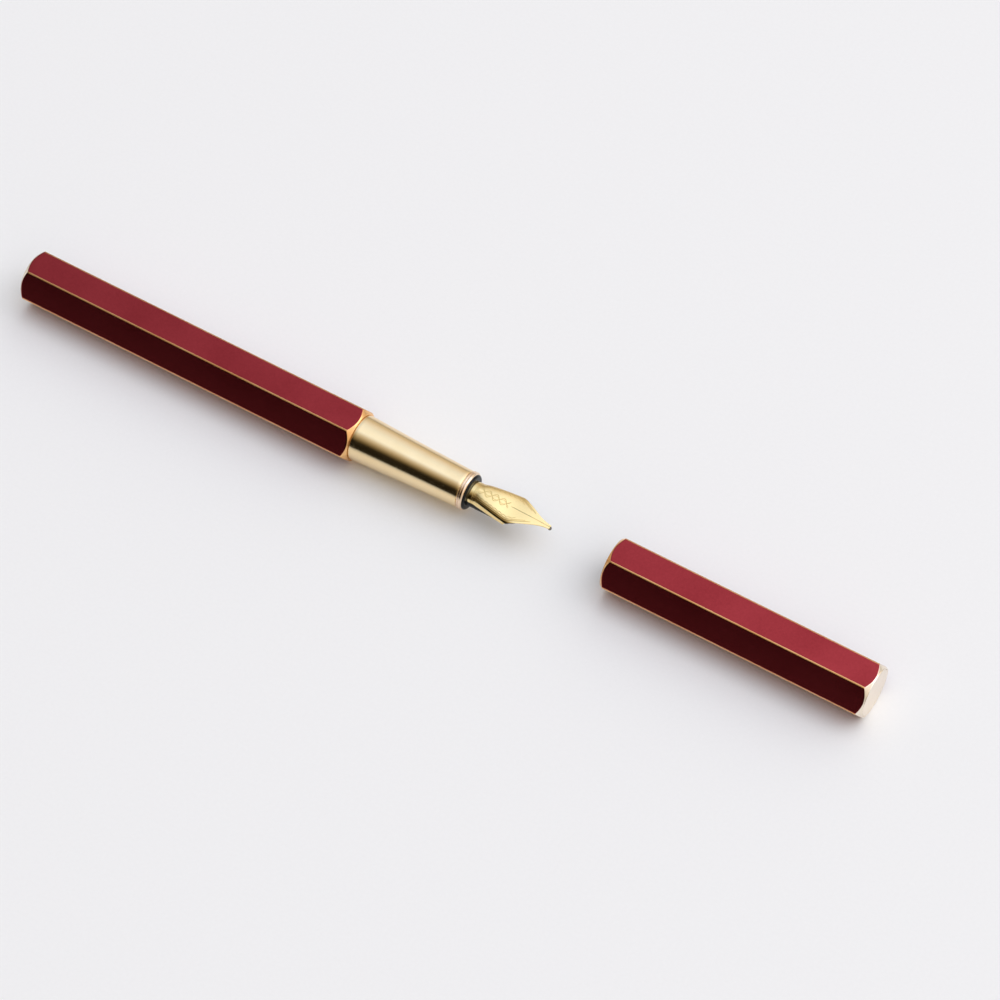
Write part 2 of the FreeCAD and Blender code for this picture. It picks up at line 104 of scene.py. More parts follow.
def between(tree: Tree, share: Input, low: float, high: float, first: str, second: str) -> Socket:
    """Colour that goes from one to another while a share grows.

    Args:
        tree: the material's tree.
        share: what the colour follows.
        low: the share up to which the first colour is pure.
        high: the share from which the second one is.
        first: a hex colour.
        second: another.

    Returns:
        The colour's socket.
    """
    reach = add_node(tree, "MapRange", share, low, high)
    mixed = add_node(tree, "Mix", reach, {6: linear(first), 7: linear(second)}, data_type="RGBA")
    return mixed.outputs[2]


# ---- Shapes -----------------------------------------------------------------------------------
@dataclass
class Shape:
    """Closed surface: points in millimetres, faces by point number, and values kept per point."""

    points: list[Point] = field(default_factory=list)
    faces: list[tuple[int, ...]] = field(default_factory=list)
    values: dict[str, list[float]] = field(default_factory=dict)

    def add(self, other: "Shape") -> None:
        """Take another shape's points, faces and values into this one.

        Args:
            other: the shape to take in; it has the same kinds of value.
        """
        first = len(self.points)
        self.points += other.points
        self.faces += [tuple(first + k for k in face) for face in other.faces]
        for name, numbers in other.values.items():
            self.values[name] = self.values.get(name, []) + numbers


def polar(x: float, radius: float, turn: float) -> Point:
    """Point at a radius and an angle round the pen's axis."""
    return x, radius * math.cos(turn), AXIS + radius * math.sin(turn)


def skin(rings: Sequence[Ring], closed: bool) -> Shape:
    """Stretch faces over rings of points; a ring of one point is a pole.

    Args:
        rings: rings in order along the surface, each with the same count of points or with one.
        closed: whether the last ring joins the first again.

    Returns:
        The skin, facing away from the side that the rings turn round.
    """
    shape = Shape([point for ring in rings for point in ring])
    starts = [sum(len(ring) for ring in rings[:k]) for k in range(len(rings))]
    pairs = list(zip(range(len(rings)), range(1, len(rings))))
    if closed:
        pairs.append((len(rings) - 1, 0))
    for here, there in pairs:
        for k in range(max(len(rings[here]), len(rings[there]))):
            corners = ((here, k), (there, k), (there, k + 1), (here, k + 1))
            face = tuple(dict.fromkeys(starts[n] + corner % len(rings[n]) for n, corner in corners))
            if len(face) > 2:
                shape.faces.append(face)
    return shape


def eased(profile: Profile, radius: float, steps: int = 3, slight: float = 0.3,
          most: float = 0.45) -> Profile:
    """Round the corners of a closed profile, as a tool or a polishing wheel leaves them.

    Args:
        profile: corners (x, radius) of a closed outline.
        radius: size of the rounding.
        steps: points that each rounding adds.
        slight: a turn of fewer radians stays as it is.
        most: share of a side that a rounding may take.

    Returns:
        The outline with rounded corners.
    """
    made: Profile = []
    for k, corner in enumerate(profile):
        here = Vector(corner)
        before = Vector(profile[k - 1]) - here
        after = Vector(profile[(k + 1) % len(profile)]) - here
        turn = math.pi - before.angle(after) if before.length and after.length else 0.0
        if corner[1] < TINY or turn < slight:
            made.append(corner)
            continue
        reach = min(radius * math.tan(turn / 2), before.length * most, after.length * most)
        start = here + before.normalized() * reach
        end = here + after.normalized() * reach
        for step in range(steps + 1):
            t = step / steps
            made.append(tuple(start * (1 - t) ** 2 + here * 2 * t * (1 - t) + end * t * t))
    return made


@dataclass(frozen=True)
class Fine:
    """Stretch of an outline that gets extra points, so that a form can be cut into it."""

    start: float
    end: float
    step: float
    low_radius: float
    high_radius: float

    def fill(self, profile: Profile) -> Profile:
        """Add points along the sides that lie between the two radii.

        Args:
            profile: corners (x, radius) of a closed outline.

        Returns:
            The outline with the added points.
        """
        made: Profile = []
        for (x, r), (nx, nr) in zip(profile, profile[1:] + profile[:1]):
            made.append((x, r))
            low, high = max(min(x, nx), self.start), min(max(x, nx), self.end)
            wanted = self.low_radius <= min(r, nr) and max(r, nr) <= self.high_radius
            if high - low < self.step * 2 or not wanted:
                continue
            count = int((high - low) / self.step)
            cuts = [low + (high - low) * n / count for n in range(count + 1)]
            for cut in cuts if nx > x else reversed(cuts):
                share = (cut - x) / (nx - x)
                if TINY < share < 1 - TINY:
                    made.append((cut, r + (nr - r) * share))
        return made


def turned(profile: Profile, sides: int = 128, ease: float = 0.06, fine: Fine | None = None) -> Shape:
    """Solid of revolution round the pen's axis.

    Args:
        profile: closed outline of (x, radius) points; points on the axis become poles.
        sides: points round each ring.
        ease: rounding of the outline's corners.
        fine: stretch that gets extra points along it.

    Returns:
        The closed shape.
    """
    outline = eased(profile, ease) if ease else list(profile)
    if fine:
        outline = fine.fill(outline)
    area = sum(ax * br - bx * ar for (ax, ar), (bx, br) in zip(outline[-1:] + outline, outline))
    if area < 0:
        outline.reverse()
    poles = [k for k, (_, r) in enumerate(outline) if r < TINY]
    if poles:
        first = next(k for k in poles if (k - 1) % len(outline) in poles)
        outline = outline[first:] + outline[:first]
    turns = [2 * math.pi * k / sides for k in range(sides)]
    return skin([[(x, 0.0, AXIS)] if r < TINY else [polar(x, r, turn) for turn in turns]
                 for x, r in outline], not poles)


def slab(top: Sequence[Ring], bottom: Sequence[Ring]) -> Shape:
    """Close two grids of points, one over the other, with walls along their borders.

    Args:
        top: rows of points of the upper surface.
        bottom: rows of points of the lower surface, as many as the upper one has.

    Returns:
        The closed shape.
    """
    rows, columns = len(top), len(top[0])
    shape = Shape([point for row in (*top, *bottom) for point in row])
    under = rows * columns
    for i in range(rows - 1):
        for j in range(columns - 1):
            a, b = i * columns + j, (i + 1) * columns + j
            shape.faces.append((a, b, b + 1, a + 1))
            shape.faces.append((under + a, under + a + 1, under + b + 1, under + b))
    border = list(range(columns))
    border += [i * columns + columns - 1 for i in range(1, rows)]
    border += [(rows - 1) * columns + j for j in range(columns - 2, -1, -1)]
    border += [i * columns for i in range(rows - 2, 0, -1)]
    shape.faces += [(a, b, under + b, under + a) for a, b in zip(border, border[1:] + border[:1])]
    return shape


def smooth_through(knots: Sequence[tuple[float, float]], x: float) -> float:
    """Value at x of a smooth curve through knots.

    Args:
        knots: (x, value) pairs in order of x.
        x: where the value is wanted; held to the knots' range.

    Returns:
        The curve's value.
    """
    x = min(max(x, knots[0][0]), knots[-1][0])
    k = max(n for n in range(len(knots) - 1) if knots[n][0] <= x)
    slopes = []
    for n in (k, k + 1):
        low, high = max(n - 1, 0), min(n + 1, len(knots) - 1)
        slopes.append((knots[high][1] - knots[low][1]) / (knots[high][0] - knots[low][0]))
    width = knots[k + 1][0] - knots[k][0]
    t = (x - knots[k][0]) / width
    return ((2 * t ** 3 - 3 * t ** 2 + 1) * knots[k][1] + (t ** 3 - 2 * t ** 2 + t) * width * slopes[0]
            + (3 * t ** 2 - 2 * t ** 3) * knots[k + 1][1] + (t ** 3 - t ** 2) * width * slopes[1])


def span(node: str) -> tuple[float, float]:
    """Lowest and highest x of a CAD node, in millimetres."""
    low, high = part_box(node)
    return low.x / MM, high.x / MM


def pipe(node: str, inner: float, outer: float, **cut: object) -> Shape:
    """Plain turned tube as long as a CAD node, or a disc where inner is 0; cut is what turned takes."""
    low, high = span(node)
    return turned([(low, inner), (high, inner), (high, outer), (low, outer)], **cut)


# ---- Forms cut by Geometry Nodes --------------------------------------------------------------
@dataclass(frozen=True)
class Blank:
    """A point of the blank as the tree reads it, in metres by the pen's axis, and the tree's inputs."""

    tree: Tree
    size: dict[str, Socket]
    x: Socket
    radius: Socket
    turn: Node
    height: Node


class Carving:
    """A form that repeats along or round the axis, cut into a dense blank by Geometry Nodes."""

    title = "carving"
    skin_depth = 0.03           # a point this near the blank's radius counts as its surface

    def sizes(self) -> dict[str, float]:
        """Named inputs of the tree: lengths in metres, and counts."""
        return {size.name: getattr(self, size.name) * (1.0 if size.type is int else MM)
                for size in fields(self)}

    def cut(self, at: Blank) -> list[Input]:
        """Add the nodes that say how deep the form is cut at a point, and give the depth's factors."""
        raise NotImplementedError

    def run_out(self, at: Blank, reach: Socket, growth: str = "LINEAR") -> list[Input]:
        """Shares that keep a form to the blank's surface and let it run out at its start and end.

        Args:
            at: a point of the blank.
            reach: length over which it runs out, in metres.
            growth: how the depth grows over that length.

        Returns:
            The share of the surface, of the start and of the end.
        """
        start, end = at.size["start"], at.size["end"]
        on_skin = add_node(at.tree, "Math COMPARE", at.radius, at.size["radius"], self.skin_depth * MM)
        full = add_node(at.tree, "Math ADD", start, reach)
        fading = add_node(at.tree, "Math SUBTRACT", end, reach)
        rise = add_node(at.tree, "MapRange", at.x, start, full, interpolation_type=growth)
        fall = add_node(at.tree, "MapRange", at.x, fading, end, 1.0, 0.0, interpolation_type=growth)
        return [on_skin, rise, fall]

    def carve(self, piece: bpy.types.Object, material: bpy.types.Material) -> None:
        """Run the tree on a piece and keep its result as the piece's plain mesh.

        Args:
            piece: the object whose mesh is the blank.
            material: finish of the carved piece.
        """
        tree = bpy.data.node_groups.new(self.title, "GeometryNodeTree")
        for way in ("INPUT", "OUTPUT"):
            tree.interface.new_socket("Geometry", in_out=way, socket_type="NodeSocketGeometry")
        keys = {}
        for name in self.sizes():
            socket = tree.interface.new_socket(name, in_out="INPUT", socket_type="NodeSocketFloat")
            keys[name] = socket.identifier
        entry = add_node(tree, "NodeGroupInput")
        parts = add_node(tree, "SeparateXYZ", add_node(tree, "GeometryNodeInputPosition"))
        height = add_node(tree, "Math SUBTRACT", parts.outputs[2], AXIS * MM)
        spoke = add_node(tree, "CombineXYZ", {1: parts.outputs[1], 2: height})
        radius = add_node(tree, "VectorMath LENGTH", spoke).outputs["Value"]
        turn = add_node(tree, "Math ARCTAN2", height, parts.outputs[1])
        size = {name: entry.outputs[name] for name in keys}
        depth = -1.0
        for factor in self.cut(Blank(tree, size, parts.outputs[0], radius, turn, height)):
            depth = add_node(tree, "Math MULTIPLY", depth, factor)
        outward = add_node(tree, "VectorMath NORMALIZE", spoke)
        shift = add_node(tree, "VectorMath SCALE", outward, {"Scale": depth})
        moved = add_node(tree, "GeometryNodeSetPosition", entry, {"Offset": shift})
        real = add_node(tree, "GeometryNodeRealizeInstances", moved)
        dressed = add_node(tree, "GeometryNodeSetMaterial", real, {"Material": material})
        add_node(tree, "NodeGroupOutput", dressed)
        modifier = piece.modifiers.new(self.title, "NODES")
        modifier.node_group = tree
        for name, value in self.sizes().items():
            modifier[keys[name]] = value
        settle(piece)


@dataclass(frozen=True)
class ScrewThread(Carving):
    """Helical groove with small flats on crest and root; a negative depth cuts outwards, in a bore."""

    start: float
    end: float
    radius: float
    pitch: float
    depth: float
    title = "screw_thread"
    flat_share = 0.08           # of the pitch, half of each flat

    def cut(self, at: Blank) -> list[Input]:
        """Groove depth from how far along its turn a point lies.

        Args:
            at: the point.

        Returns:
            Factors of the depth of the cut towards the axis, in metres.
        """
        along = add_node(at.tree, "Math DIVIDE", at.x, at.size["pitch"])
        lead = add_node(at.tree, "Math DIVIDE", at.turn, 2 * math.pi)
        turns = add_node(at.tree, "Math SUBTRACT", along, lead)
        wave = add_node(at.tree, "Math PINGPONG", turns, 0.5)
        flank = add_node(at.tree, "MapRange", wave, self.flat_share, 0.5 - self.flat_share)
        return [at.size["depth"], flank, *self.run_out(at, at.size["pitch"])]


@dataclass(frozen=True)
class Flutes(Carving):
    """Round bottomed grooves along a knob, even round it and run out softly at both ends."""

    start: float
    end: float
    radius: float
    count: int
    groove_radius: float
    groove_depth: float
    title = "flutes"

    def cut(self, at: Blank) -> list[Input]:
        """Depth of the round groove whose middle is nearest.

        Args:
            at: the point.

        Returns:
            Factors of the depth of the cut towards the axis, in metres.
        """
        tree, size = at.tree, at.size
        half_step = add_node(tree, "Math DIVIDE", math.pi, size["count"])
        back = add_node(tree, "Math MULTIPLY", half_step, -1.0)
        offset = add_node(tree, "Math WRAP", at.turn, half_step, back)
        arc = add_node(tree, "Math MULTIPLY", offset, size["radius"])
        arc_square = add_node(tree, "Math POWER", arc, 2.0)
        full_square = add_node(tree, "Math POWER", size["groove_radius"], 2.0)
        rest = add_node(tree, "Math SUBTRACT", full_square, arc_square)
        drop = add_node(tree, "Math SQRT", add_node(tree, "Math MAXIMUM", rest, 0.0))
        rise = add_node(tree, "Math SUBTRACT", size["groove_radius"], size["groove_depth"])
        below = add_node(tree, "Math SUBTRACT", drop, rise)
        depth = add_node(tree, "Math MAXIMUM", below, 0.0)
        return [depth, *self.run_out(at, size["groove_radius"], "SMOOTHSTEP")]


@dataclass(frozen=True)
class Comb(Carving):
    """Slots across the underside of the feed that leave thin fins to hold spare ink."""

    first: float
    pitch: float
    gap: float
    count: int
    core: float
    top: float
    title = "comb"

    def cut(self, at: Blank) -> list[Input]:
        """Depth down to the core inside a slot, and none on a fin.

        Args:
            at: the point.

        Returns:
            Factors of the depth of the cut towards the axis, in metres.
        """
        tree, size = at.tree, at.size
        past = add_node(tree, "Math SUBTRACT", at.x, size["first"])
        number = add_node(tree, "Math DIVIDE", past, size["pitch"])
        share = add_node(tree, "Math FRACT", number)
        width = add_node(tree, "Math DIVIDE", size["gap"], size["pitch"])
        slot = add_node(tree, "Math LESS_THAN", share, width)
        begun = add_node(tree, "Math GREATER_THAN", number, 0.0)
        unended = add_node(tree, "Math LESS_THAN", number, size["count"])
        below = add_node(tree, "Math LESS_THAN", at.height, size["top"])
        spare = add_node(tree, "Math SUBTRACT", at.radius, size["core"])
        depth = add_node(tree, "Math MAXIMUM", spare, 0.0)
        return [depth, slot, begun, unended, below]


# ---- Pieces -----------------------------------------------------------------------------------
@dataclass(frozen=True)
class Place:
    """Where a piece belongs: its CAD body, the CAD nodes it stands for and its material slot."""

    body: str
    nodes: tuple[str, ...]
    slot: str


def settle(piece: bpy.types.Object) -> None:
    """Turn the evaluated form of a piece into its own plain mesh and drop its modifiers.

    Args:
        piece: the object with live modifiers.
    """
    graph = bpy.context.evaluated_depsgraph_get()
    made = bpy.data.meshes.new_from_object(piece.evaluated_get(graph), preserve_all_data_layers=True,
                                           depsgraph=graph)
    blank = piece.data
    piece.modifiers.clear()
    piece.data = made
    bpy.data.meshes.remove(blank)


def add_piece(name: str, shape: Shape, finish: "Finish", place: Place, bevel: float = 0.0,
              carving: Carving | None = None, sharp: float = 40.0) -> bpy.types.Object:
    """Make a piece of the pen, dress it and put it on its CAD body.

    Args:
        name: the piece's name.
        shape: its closed surface.
        finish: what it is made of.
        place: the body and nodes that it belongs to; the slot in it is not used.
        bevel: width of the rounding that a modifier gives its sharp edges.
        carving: a repeated form that is cut into it.
        sharp: angle in degrees past which an edge stays crisp.

    Returns:
        The finished object.
    """
    mesh = bpy.data.meshes.new(name)
    mesh.from_pydata([tuple(c * MM for c in point) for point in shape.points], [], shape.faces)
    for key, numbers in shape.values.items():
        mesh.attributes.new(key, "FLOAT", "POINT").data.foreach_set("value", numbers)
    work = bmesh.new()
    work.from_mesh(mesh)
    bmesh.ops.remove_doubles(work, verts=work.verts, dist=TINY / 10)
    work.to_mesh(mesh)
    work.free()
    piece = bpy.data.objects.new(name, mesh)
    bpy.context.scene.collection.objects.link(piece)
    material = finish.material()
    if carving:
        carving.carve(piece, material)
    piece.data.polygons.foreach_set("use_smooth", [True] * len(piece.data.polygons))
    if bevel:
        rounding = piece.modifiers.new("rounded_edges", "BEVEL")
        rounding.limit_method = "ANGLE"
        rounding.angle_limit = math.radians(24)
        rounding.width = bevel * MM
        rounding.segments = 2
    else:
        piece.data.set_sharp_from_angle(angle=math.radians(sharp))
    weighting = piece.modifiers.new("weighted_normals", "WEIGHTED_NORMAL")
    weighting.keep_sharp = True
    settle(piece)
    piece.data.materials.clear()
    piece.data.materials.append(material)
    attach(piece, place.body)
    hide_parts(*place.nodes)
    LOG.info("%s: %d faces, on %s", name, len(piece.data.polygons), place.body)
    return piece


# ---- Finishes ---------------------------------------------------------------------------------
class Lines(Enum):
    """Which way a tool left its fine lines."""

    ROUND = "round the axis, one beside the other along it"
    FACED = "in rings on an end face"
    LENGTHWISE = "along the pen"


class Finish:
    """What a piece is made of and how its surface was made."""

    title: str

    def dress(self, tree: Tree, place: Socket) -> dict[str, Input]:
        """Add the nodes of the surface's pattern, and give what the Principled BSDF's sockets get."""
        raise NotImplementedError

    def top(self, tree: Tree, shader: Node) -> Node:
        """Shader that reaches the output: the Principled BSDF, unless a finish lays more over it."""
        return shader

    def material(self) -> bpy.types.Material:
        """The finish's material, made when it is first asked for.

        Returns:
            The material.
        """
        name = "finish_" + self.title
        made = bpy.data.materials.get(name)
        if not made:
            made = bpy.data.materials.new(name)
            made.use_nodes = True
            tree = made.node_tree
            tree.nodes.clear()
            place = add_node(tree, "TexCoord").outputs["Object"]
            shader = add_node(tree, "BsdfPrincipled", self.dress(tree, place))
            add_node(tree, "OutputMaterial", self.top(tree, shader))
        return made


def per_metre(size: float) -> float:
    """Scale of a noise whose grains are this many millimetres across."""
    return 1 / (size * MM)


@dataclass(frozen=True)
class TurnedMetal(Finish):
    """Metal off the lathe, polished with a fine wheel: mirror depth under hair-fine tool lines."""

    title: str
    colour: str
    shade: str
    roughness: float
    lines: Lines
    line_pitch: float = 0.16    # the real lines are about 0.03 mm apart, drawn coarser to show
    line_length: float = 30.0
    line_depth: float = 0.0012
    patina_size: float = 9.0
    painted_end_highlight: str = ""             # painted highlight: paler colour of the end chamfers, where they mirror the bright room
    painted_highlight_from: float = 98.75   # distance from the middle of the open pen where the painted highlight begins

    def dress(self, tree: Tree, place: Socket) -> dict[str, Input]:
        """Tool lines in relief and roughness, a faint cloudy patina in the colour, and a painted highlight at
        the far ends.

        Args:
            tree: the material's tree.
            place: Object coordinates.

        Returns:
            What the sockets of the Principled BSDF get.
        """
        fine, long = per_metre(self.line_pitch), per_metre(self.line_length)
        stretch = (fine, long, long) if self.lines is Lines.ROUND else (long, fine, fine)
        source = add_node(tree, "Mapping", place, {"Location": (0.0, 0.0, -AXIS * MM)})
        if self.lines is Lines.FACED:
            parts = add_node(tree, "SeparateXYZ", source)
            spoke = add_node(tree, "CombineXYZ", parts.outputs[1], parts.outputs[2])
            radius = add_node(tree, "VectorMath LENGTH", spoke)
            source = add_node(tree, "CombineXYZ", radius.outputs["Value"])
            stretch = (fine, 1.0, 1.0)
        drawn = add_node(tree, "Mapping", source, {"Scale": stretch})
        lines = add_node(tree, "TexNoise", drawn, {"Scale": 1.0, "Detail": 2.0, "Roughness": 0.6})
        patina = add_node(tree, "TexNoise", place, {"Scale": per_metre(self.patina_size), "Detail": 4.0,
                                                    "Roughness": 0.55})
        colour = between(tree, patina, 0.4, 0.75, self.colour, self.shade)
        # Painted highlight: far from the middle the colour turns paler, standing in for the end chamfers'
        # bright reflection.
        if self.painted_end_highlight:
            far = add_node(tree, "VectorMath ABSOLUTE", place)
            reach = add_node(tree, "SeparateXYZ", far)
            cut = add_node(tree, "Math GREATER_THAN", reach, self.painted_highlight_from * MM)
            colour = add_node(tree, "Mix", cut, {6: colour, 7: linear(self.painted_end_highlight)},
                              data_type="RGBA").outputs[2]
        rough = add_node(tree, "MapRange", lines, 0.3, 0.7, self.roughness * 0.8, self.roughness * 1.25)
        bump = add_node(tree, "Bump", {"Height": lines, "Distance": self.line_depth * MM})
        return {"Metallic": 1.0, "Base Color": colour, "Roughness": rough, "Normal": bump}


@dataclass(frozen=True)
class RedLacquer(Finish):
    """Baked translucent red lacquer over blasted brass: deep and glossy, faintly mottled by the grain."""

    title: str = "red_lacquer"
    colour: str = "#A1363A"
    deep: str = "#922D31"
    metallic: float = 0.97
    roughness: float = 0.045
    grain_size: float = 0.32    # blasted grain is near 0.1 mm, drawn coarser to show
    grain_depth: float = 0.0004
    peel_size: float = 0.9
    peel_depth: float = 0.0008
    cloud_size: float = 11.0
    cloud_share: float = 0.45   # how much of the mottling the clouds take

    def dress(self, tree: Tree, place: Socket) -> dict[str, Input]:
        """Mottled grain and slow clouds in the colour, grain and lacquer's own waviness in the relief.

        Args:
            tree: the material's tree.
            place: Object coordinates.

        Returns:
            What the sockets of the Principled BSDF get.
        """
        grain = add_node(tree, "TexNoise", place, {"Scale": per_metre(self.grain_size), "Detail": 3.0,
                                                   "Roughness": 0.65})
        cloud = add_node(tree, "TexNoise", place, {"Scale": per_metre(self.cloud_size), "Detail": 3.0})
        peel = add_node(tree, "TexNoise", place, {"Scale": per_metre(self.peel_size), "Detail": 1.0})
        mixed = add_node(tree, "Mix", self.cloud_share, {2: grain, 3: cloud})
        rough = add_node(tree, "MapRange", grain, 0.35, 0.65, self.roughness - 0.02, self.roughness + 0.03)
        wave = add_node(tree, "Bump", {"Height": peel, "Distance": self.peel_depth * MM})
        bump = add_node(tree, "Bump", {"Height": grain, "Distance": self.grain_depth * MM, "Normal": wave})
        colour = between(tree, mixed, 0.36, 0.64, self.deep, self.colour)
        return {"Metallic": self.metallic, "Base Color": colour, "Roughness": rough, "Normal": bump}


@dataclass(frozen=True)
class EngravedGold(Finish):
    """Gold plated, mirror polished steel nib with fine engraved lines that the plating has softened, their
    grooves darkened with painted shade.

    Places along the nib are counted in millimetres from the writing tip, gaps from its edges.
    """

    title: str = "gold_plated_nib"
    colour: str = "#F7DC9E"
    # Painted shade: the darker gold of the engraved grooves.
    painted_groove_shade: str = "#B98F3C"
    roughness: float = 0.09
    haze_size: float = 1.6
    border_gaps: tuple[float, ...] = (0.55, 0.85)
    border_from: float = 4.0
    border_to: float = 17.2
    scallop_from: float = 7.0
    scallop_to: float = 16.6
    scallop_gap: float = 1.1
    scallop_rise: float = 0.22
    scallop_length: float = 1.1
    wave_length: float = 3.4
    wave_reach: float = 0.8
    wave_inner: float = 0.55    # share of that reach which the two inner strands have
    wave_from: float = 9.5
    wave_to: float = 16.55
    bands: tuple[float, ...] = (16.8, 17.15)
    past_root: float = 99.0
    half_widths: tuple[float, ...] = (0.09, 0.07, 0.06, 0.08, 0.05)     # borders, fine, braid's two
    line_depth: float = 0.02

    def line(self, tree: Tree, along: Socket, offset: Node, half_width: float, low: float,
             high: float) -> Node:
        """One engraved line: full in its middle, gone past its edge and past the two ends.

        Args:
            tree: the material's tree.
            along: place along the nib.
            offset: distance from the line's middle.
            half_width: half the line's width.
            low: where along the nib the line begins.
            high: where it ends.

        Returns:
            The line's strength.
        """
        gap = add_node(tree, "Math ABSOLUTE", offset)
        body = add_node(tree, "MapRange", gap, half_width * 0.4, half_width * 1.4, 1.0, 0.0)
        begun = add_node(tree, "Math GREATER_THAN", along, low)
        unended = add_node(tree, "Math LESS_THAN", along, high)
        kept = add_node(tree, "Math MULTIPLY", begun, unended)
        return add_node(tree, "Math MULTIPLY", body, kept)

    def dress(self, tree: Tree, place: Socket) -> dict[str, Input]:
        """Lines and scallops that follow the edges, a plain braid between them and bands at the root.

        Args:
            tree: the material's tree.
            place: Object coordinates.

        Returns:
            What the sockets of the Principled BSDF get.
        """
        along, across, rim = (add_node(tree, "Attribute", attribute_name=name).outputs["Fac"]
                              for name in ("along", "across", "rim"))
        outer, inner, fine, strong, weak = self.half_widths
        marks = []          # offset from each line's middle, half its width, where it begins and ends
        for k, (gap, width) in enumerate(zip(self.border_gaps, (outer, inner))):
            offset = add_node(tree, "Math SUBTRACT", rim, gap)
            marks.append((offset, width, self.border_from + k, self.border_to))
        step = add_node(tree, "Math MULTIPLY", along, math.pi / self.scallop_length)
        swell = add_node(tree, "Math SINE", step)
        bow = add_node(tree, "Math ABSOLUTE", swell)
        crest = add_node(tree, "Math MULTIPLY_ADD", bow, self.scallop_rise, self.scallop_gap)
        offset = add_node(tree, "Math SUBTRACT", rim, crest)
        marks.append((offset, fine, self.scallop_from, self.scallop_to))
        turn = add_node(tree, "Math MULTIPLY", along, 2 * math.pi / self.wave_length)
        swing = add_node(tree, "Math SINE", turn)
        for share, width in ((1, strong), (self.wave_inner, weak), (-self.wave_inner, weak), (-1, strong)):
            middle = add_node(tree, "Math MULTIPLY", swing, self.wave_reach * share)
            offset = add_node(tree, "Math SUBTRACT", across, middle)
            marks.append((offset, width, self.wave_from, self.wave_to))
        for band in self.bands:
            offset = add_node(tree, "Math SUBTRACT", along, band)
            marks.append((offset, fine, 0.0, self.past_root))
        cut = 0.0
        for mark in marks:
            cut = add_node(tree, "Math MAXIMUM", cut, self.line(tree, along, *mark))
        haze = add_node(tree, "TexNoise", place, {"Scale": per_metre(self.haze_size), "Detail": 3.0})
        fade = add_node(tree, "Math MULTIPLY", cut, 0.75)
        polish = add_node(tree, "MapRange", haze, 0.3, 0.7, self.roughness * 0.85, self.roughness * 1.2)
        rough = add_node(tree, "Math MULTIPLY_ADD", cut, 0.25, polish)
        bump = add_node(tree, "Bump", {"Height": cut, "Strength": 0.8, "Distance": self.line_depth * MM},
                        invert=True)
        # The engraved lines get the darker gold: painted shade in the grooves.
        colour = between(tree, fade, 0.0, 1.0, self.colour, self.painted_groove_shade)
        return {"Metallic": 1.0, "Base Color": colour, "Roughness": rough, "Normal": bump}


@dataclass(frozen=True)
class MouldedPlastic(Finish):
    """Injection moulded plastic: an even satin skin with the faint texture of its tool."""

    title: str
    colour: str
    worn: str
    roughness: float
    texture_size: float = 0.25
    texture_depth: float = 0.004
    flow_size: float = 4.0
    gloss: float = 0.22

    def dress(self, tree: Tree, place: Socket) -> dict[str, Input]:
        """Tool texture in the relief and roughness, slow unevenness in the colour.

        Args:
            tree: the material's tree.
            place: Object coordinates.

        Returns:
            What the sockets of the Principled BSDF get.
        """
        texture = add_node(tree, "TexNoise", place, {"Scale": per_metre(self.texture_size)})
        flow = add_node(tree, "TexNoise", place, {"Scale": per_metre(self.flow_size), "Detail": 3.0})
        rough = add_node(tree, "MapRange", texture, 0.3, 0.7, self.roughness - 0.05, self.roughness + 0.06)
        bump = add_node(tree, "Bump", {"Height": texture, "Distance": self.texture_depth * MM})
        return {"Base Color": between(tree, flow, 0.35, 0.7, self.colour, self.worn), "Roughness": rough,
                "IOR": 1.5, "Specular IOR Level": self.gloss, "Normal": bump}


@dataclass(frozen=True)
class ClearPlastic(Finish):
    """Clear moulded acrylic: glossy, with the slight ripple of moulding."""

    title: str = "clear_acrylic"
    colour: str = "#EEF3F4"
    ripple_size: float = 2.5
    ripple_depth: float = 0.004

    def dress(self, tree: Tree, place: Socket) -> dict[str, Input]:
        """Full transmission, a little ripple and uneven gloss.

        Args:
            tree: the material's tree.
            place: Object coordinates.

        Returns:
            What the sockets of the Principled BSDF get.
        """
        ripple = add_node(tree, "TexNoise", place, {"Scale": per_metre(self.ripple_size), "Detail": 1.0})
        rough = add_node(tree, "MapRange", ripple, 0.3, 0.7, 0.02, 0.07)
        bump = add_node(tree, "Bump", {"Height": ripple, "Distance": self.ripple_depth * MM})
        return {"Base Color": linear(self.colour), "Transmission Weight": 1.0, "IOR": 1.49,
                "Roughness": rough, "Normal": bump}


@dataclass(frozen=True)
class StudioPaper(Finish):
    """White background paper: matt from above with a just visible tooth, a mirror at a glancing view."""

    title: str = "studio_paper"
    colour: str = "#F7F5F2"
    shade: str = "#F3F1EE"
    tooth_size: float = 0.7
    tooth_depth: float = 0.0005
    sheen_index: float = 1.16
    sheen_roughness: float = 0.06

    def dress(self, tree: Tree, place: Socket) -> dict[str, Input]:
        """Fine tooth in colour and relief.

        Args:
            tree: the material's tree.
            place: Object coordinates.

        Returns:
            What the sockets of the Principled BSDF get.
        """
        tooth = add_node(tree, "TexNoise", place, {"Scale": per_metre(self.tooth_size), "Detail": 3.0})
        bump = add_node(tree, "Bump", {"Height": tooth, "Distance": self.tooth_depth * MM})
        return {"Base Color": between(tree, tooth, 0.0, 1.0, self.shade, self.colour),
                "Specular IOR Level": 0.0, "Normal": bump}

    def top(self, tree: Tree, shader: Node) -> Node:
        """Lay the glancing sheen over the matt paper.

        Args:
            tree: the material's tree.
            shader: its Principled BSDF.

        Returns:
            The mix of the two.
        """
        normal = shader.inputs["Normal"].links[0].from_socket
        sheen = add_node(tree, "BsdfGlossy", {"Roughness": self.sheen_roughness, "Normal": normal})
        glance = add_node(tree, "Fresnel", {"IOR": self.sheen_index})
        return add_node(tree, "MixShader", glance, shader, sheen)


# Satin red that turns nearly black where it mirrors the dark.
LACQUER = RedLacquer()
